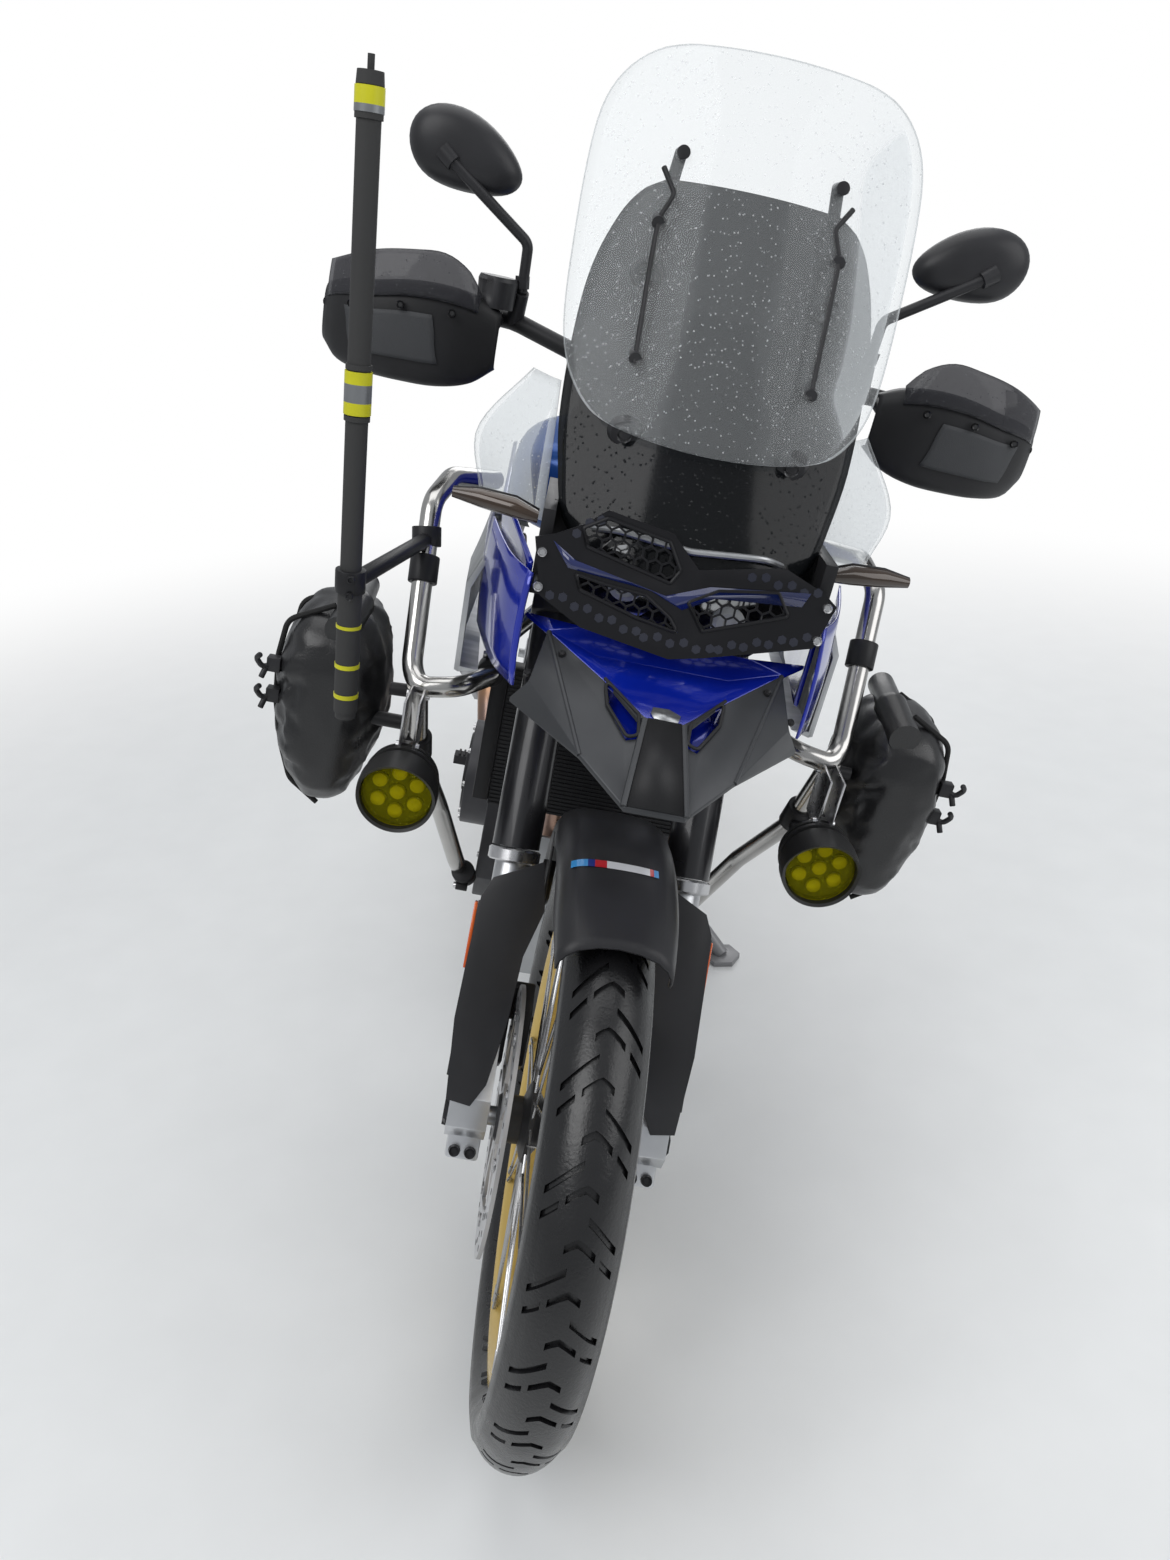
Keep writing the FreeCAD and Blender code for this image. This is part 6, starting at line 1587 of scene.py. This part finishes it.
    def chain(self) -> None:
        """Links of the chain along its loop, and teeth on the sprocket."""
        front, rear = Vector((95.5, 905, 408)), Vector((95.5, 1593, 321))
        small, large = 45.0, 120.0
        way = rear - front
        tilt = math.atan2(way.z, way.y)
        spread = math.asin((large - small) / way.length)
        upper, lower = tilt + math.pi / 2 + spread, tilt - math.pi / 2 - spread
        spots = []

        def out(angle: float) -> Vector:
            """The way out from a sprocket's middle at an angle."""
            return Vector((0, math.cos(angle), math.sin(angle)))

        def arc(middle: Vector, radius: float, start: float, end: float) -> None:
            """Points along an arc of the chain."""
            count = max(2, round(abs(end - start) * radius / 4))
            for step in range(count):
                spots.append(middle + out(start + (end - start) * step / count) * radius)

        def run(start: Vector, end: Vector) -> None:
            """Points along a straight run."""
            count = round((end - start).length / 4)
            spots.extend(start.lerp(end, step / count) for step in range(count))

        arc(front, small, upper, lower + 2 * math.pi)
        run(front + out(lower) * small, rear + out(lower) * large)
        arc(rear, large, lower, upper)
        run(rear + out(upper) * large, front + out(upper) * small)
        total = sum((after - before).length for before, after in zip(spots, spots[1:] + spots[:1]))
        count = round(total / CHAIN_PITCH)
        pitch = total / count
        pins, travelled, target = [], 0.0, 0.0
        for before, after in zip(spots, spots[1:] + spots[:1]):
            length = (after - before).length
            while target < travelled + length and len(pins) < count:
                pins.append(before.lerp(after, (target - travelled) / length))
                target += pitch
            travelled += length
        links, rollers = new_shape(), new_shape()
        for place, (pin, after) in enumerate(zip(pins, pins[1:] + pins[:1])):
            gap = 7.4 if place % 2 else 5.2
            for side in (-gap, gap - 1.8):
                matrix = toward((pin + after) / 2 + Vector((side + 0.9, 0, 0)), Vector((1, 0, 0)))
                local = matrix.inverted().to_3x3() @ (after - pin).normalized()
                turn = Matrix.Rotation(math.atan2(local.y, local.x), 4, "Z")
                bmesh.ops.create_cone(
                    links, cap_ends=True, segments=10, radius1=7.0, radius2=7.0, depth=1.8,
                    matrix=matrix @ turn @ Matrix.Diagonal((1.72, 0.86, 1, 1)))
            for half, radius, sides in ((8.4, 2.6, 8), (4.6, 5.0, 10)):
                post(
                    rollers, pin - Vector((half, 0, 0)), pin + Vector((half, 0, 0)), radius,
                    sides=sides)
        piece("chain_links", links, BASE, CHAIN, "drive_chain")
        piece("chain_rollers", rollers, BASE, SPOKE)
        teeth = new_shape()
        for tooth in range(44):
            angle = 360 / 44 * tooth
            bmesh.ops.create_cone(
                teeth, cap_ends=True, segments=4, radius1=6.4, radius2=2.6, depth=14,
                matrix=toward(around(95.5, 107, angle), around(0, 1, angle))
                @ Matrix.Diagonal((0.8, 1, 1, 1)))
        piece("sprocket_teeth", teeth, REAR_HUB, DISC)

    def stand(self) -> None:
        """The stand's leg, foot and spring."""
        eased("side_stand", STAND_FOOT, 1.6, Body.STAND)

    def build(self) -> None:
        """Every piece of the running gear."""
        self.engine()
        self.cooler()
        self.exhaust()
        self.frame_pieces()
        self.chain()
        self.stand()


@dataclass
class SeatAndTail:
    """Tank, seats, tail, rack and rear lamp.

    Args:
        tank: the tank's sections: back, low, half low, middle, half middle, high, half high.
        rider: the rider's seat, in the same columns.
        pillion: the rear seat, in the same columns.
    """

    tank: tuple[tuple[float, ...], ...] = (
        (500, 925, 45, 960, 72, 1010, 45), (530, 898, 105, 944, 138, 1026, 80),
        (560, 874, 148, 930, 186, 1035, 98), (660, 866, 162, 930, 197, 1058, 95),
        (770, 857, 138, 900, 163, 988, 80), (880, 792, 80, 840, 116, 898, 60))
    rider: tuple[tuple[float, ...], ...] = (
        (884, 851, 56, 872, 72, 886, 52), (940, 842, 80, 864, 104, 876, 80),
        (1000, 836, 104, 858, 131, 874, 104), (1100, 834, 114, 864, 144, 888, 112),
        (1181, 834, 116, 872, 147, 902, 114))
    pillion: tuple[tuple[float, ...], ...] = (
        (1204, 836, 115, 893, 145, 934, 112), (1300, 846, 104, 900, 136, 943, 106),
        (1400, 858, 94, 908, 126, 949, 98), (1486, 872, 82, 916, 113, 952, 86))

    def loaf(self, table: Table, part: float, turn: float, crown: float = 0.0) -> Vector:
        """A spot on a closed form through a table's sections."""
        square = 0.55
        first, last = table[0][0], table[-1][0]
        back = first + (last - first) * part
        low, half_low, middle, half_middle, high, half_high = between(table, back)
        angle = 2 * math.pi * turn
        rise, wide = math.sin(angle), math.cos(angle)
        if rise >= 0:
            up = middle + (high + crown - middle) * rise ** square
            half = half_middle + (half_high * 0.55 - half_middle) * rise ** 3.0
        else:
            up = middle - (middle - low) * (-rise) ** square
            half = half_middle + (half_low * 0.8 - half_middle) * (-rise) ** 2.0
        across = half * math.copysign(abs(wide) ** square, wide)
        ends = 1.0 - 0.10 * abs(2 * part - 1) ** 10
        return Vector((across * ends, back, middle + (up - middle) * ends))

    def closed(self, table: Table, along: int, crown: float = 0.0) -> BMesh:
        """A closed form through a table's sections."""
        shape = new_shape()
        sheet(shape, along, 56, lambda part, turn: self.loaf(table, part, turn, crown))
        bmesh.ops.remove_doubles(shape, verts=shape.verts, dist=0.3)
        bmesh.ops.holes_fill(shape, edges=shape.edges)
        return shape

    def build(self) -> None:
        """Every piece behind the bar."""
        piece("tank_shell", self.closed(self.tank, 48), BASE, TANK_BLUE, "fuel_tank", crease=80)
        cap = new_shape()
        post(cap, (0, 640, 1050), (0, 640, 1061), 44, 40, 48)
        post(cap, (0, 640, 1061), (0, 640, 1063), 30, 28, 48)
        for turn in range(6):
            spot = around(0, 36, 60 * turn)
            bolt(cap, (spot.y, 640 + spot.z, 1060), (0, 0, 1), 3)
        piece("tank_cap", cap, BASE, METAL_BLACK)
        for name, table, seams in (
                ("rider_seat_pad", self.rider, (0.30, 0.62, 0.90)),
                ("pillion_seat_pad", self.pillion, (0.12, 0.45, 0.78))):
            pad = piece(name, self.closed(table, 44, -2.0), BASE, VINYL, "seat", crease=180)
            stitching = new_shape()
            for seam in seams:
                tube(
                    stitching, [self.loaf(table, seam, 0.06 + 0.38 * step / 24, 1.0)
                    + Vector((0, 0, -0.6)) for step in range(25)], 1.3, 4, 6)
            piece(f"{name}_seams", stitching, BASE, VINYL_SIDE)
        eased("tail_unit", MOULDED, 5.0)
        lamp, plate, rack = new_shape(), new_shape(), new_shape()
        slab(lamp, (-36, 1597, 793), (36, 1606, 814))
        soften(lamp, 3)
        piece("tail_lamp", lamp, BASE, RED)
        slab(plate, (-70, 1592, 640), (70, 1594, 770))
        slab(plate, (-14, 1580, 700), (14, 1592, 800))
        soften(plate, 0.8)
        piece("blank_plate_holder", plate, BASE, SATIN)
        tube(rack, ((-90, 1330, 972), (-90, 1620, 972), (90, 1620, 972), (90, 1330, 972)), 6.9, 40, 16)
        tube(rack, ((-90, 1480, 972), (90, 1480, 972)), 6.9)
        for side in SIDES:
            tube(rack, ((side * 90, 1545, 972), (side * 72, 1517, 874)), 6.9)
        piece("rack_tubes", rack, BASE, METAL_BLACK, "rear_rack")
        top = new_shape()
        slab(top, (-75, 1470, 976), (75, 1620, 981))
        soften(top, 1.6)
        piece("rack_plate", top, BASE, METAL_BLACK)
        # The slots are thin near-black strips laid on the plate: painted shade in place of openings.
        slots = new_shape()
        for across in (-50, -25, 0, 25, 50):
            slab(slots, (across - 6, 1490, 981.0), (across + 6, 1600, 981.2))
        piece("rack_plate_slots", slots, BASE, HOLE_SHADE)


def whiten(paint: Material) -> None:
    """Let the floor turn white far from the machine, for the camera alone."""
    graph = Graph(paint.node_tree)
    reach = graph.add("VectorMath", {0: graph.add("TexCoord", output="Object")}, "LENGTH", "Value")
    far = graph.add("MapRange", {"Value": reach, "From Min": 1.2, "From Max": 3.8})
    far.node.interpolation_type = "SMOOTHSTEP"
    share = graph.add("Math", {0: far, 1: graph.add("LightPath", output="Is Camera Ray")}, "MULTIPLY")
    plain = graph.tree.nodes["Principled BSDF"].outputs["BSDF"]
    mix = graph.add("MixShader", {"Fac": share, 1: plain, 2: graph.add("Emission")})
    graph.feed(graph.tree.nodes["Material Output"], {"Surface": mix})


def shown(name: str, data: bpy.types.ID) -> Object:
    """An object of the scene that holds some data."""
    made = bpy.data.objects.new(name, data)
    bpy.context.scene.collection.objects.link(made)
    return made


def sky() -> None:
    """Soft light from all round, and a white background for the camera."""
    scene = bpy.context.scene
    scene.world = scene.world or bpy.data.worlds.new("studio")
    scene.world.use_nodes = True
    graph = Graph(scene.world.node_tree)
    graph.tree.nodes.clear()
    plain = graph.add("Background", {"Color": (0.93, 0.96, 1.0, 1.0), "Strength": 0.46})
    white = graph.add("Background", {"Color": (1.0, 1.0, 1.0, 1.0), "Strength": 1.0})
    path = graph.add("LightPath", output="Is Camera Ray")
    mix = graph.add("MixShader", {"Fac": path, 1: plain, 2: white})
    graph.feed(graph.tree.nodes.new("ShaderNodeOutputWorld"), {"Surface": mix})


def studio() -> None:
    """Sky, floor, lamps and the camera."""
    scene = bpy.context.scene
    scene.view_settings.view_transform = "Standard"
    sky()
    shape = new_shape()
    bmesh.ops.create_grid(shape, x_segments=1, y_segments=1, size=FLOOR_REACH)
    mesh = bpy.data.meshes.new("floor")
    shape.to_mesh(mesh)
    shape.free()
    floor = shown("floor", mesh)
    paint = FLOOR_PAINT.material()
    mesh.materials.append(paint)
    whiten(paint)
    for name, spot, aim, size, power in LAMPS:
        light = bpy.data.lights.new(name, "AREA")
        light.energy, light.size = power, size
        made = shown(name, light)
        made.location = spot
        made.rotation_euler = (Vector(aim) - Vector(spot)).to_track_quat("-Z", "Y").to_euler()
    camera = bpy.data.cameras.new("camera")
    camera.sensor_fit, camera.sensor_width, camera.lens = "AUTO", 36.0, CAMERA_LENS
    made = scene.camera = shown("camera", camera)
    yaw, pitch, roll = (Matrix.Rotation(angle, 3, axis) for angle, axis in zip(CAMERA_TURN, "ZXY"))
    right, down, ahead = Matrix(((1, 0, 0), (0, 0, -1), (0, 1, 0))) @ (yaw @ pitch @ roll).transposed()
    made.matrix_world = (
        Matrix.Translation(CAMERA_SPOT) @ Matrix((right, -down, -ahead)).transposed().to_4x4())


PLAIN_NODES = {"front_discs": DISC, "rear_brake_disc": DISC, "rear_sprocket": DISC}

FLOOR_PAINT = Finish("floor_paint", "floor", (0.80, 0.81, 0.81), (0.78, 0.79, 0.79), 0.0, 0.38, 0.05)
FLOOR_REACH = 14.0
# Name, spot, aim, size and power
LAMPS = (
    ("key", (-1.8, -2.6, 3.4), (0, -0.3, 0.6), 2.4, 62.0),
    ("fill", (2.8, -1.6, 2.2), (0, 0, 0.6), 2.4, 34.0),
    ("top", (0.0, 0.4, 3.8), (0, 0.1, 0.5), 3.0, 40.0),
    ("back", (0.6, 3.4, 2.6), (0, 0.6, 0.6), 2.4, 34.0))
# The camera as fitted to the photograph: yaw, pitch and roll, spot in metres, lens in millimetres
CAMERA_TURN = (0.03034450821899727, -0.4607618143608083, 0.03563343943624159)
CAMERA_SPOT = (-0.05968285, -1.75393337, 1.26684925)
CAMERA_LENS = 25.5555


def main() -> None:
    """Build every sub-assembly in order."""
    logging.basicConfig(level=logging.INFO, format="%(name)s: %(message)s")
    front = Wheel(
        "front", FRONT_HUB, 345.8, 44.5, 52.0, ((42.5, 321), (45.8, 308), (44, 299), (36, 289),
        (27.5, 281.5), (21, 272)), 266.7, 27.3, 252.0, (27.0, 46.0, 36.0, 72.0), 24)
    rear = Wheel(
        "rear", REAR_HUB, 318.9, 80.0, 50.0, ((69, 279), (74.8, 262), (73, 251), (64, 240), (54, 230.8),
        (44, 220)), 215.9, 54.0, 196.0, (33.0, 58.0, 44.0, 78.0), 22)
    front.build()
    front.brake((64.0, -68.5), 152.5)
    rear.build()
    rear.brake((-76.5,), 132.5)
    for part in (ForkEnd(), Controls(), Screens(), Nose(), CrashBars(), RunningGear(), SeatAndTail()):
        part.build()
    for node, finish in PLAIN_NODES.items():
        dress(node, finish)
    studio()
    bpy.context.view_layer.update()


if __name__ == "__main__":
    main()
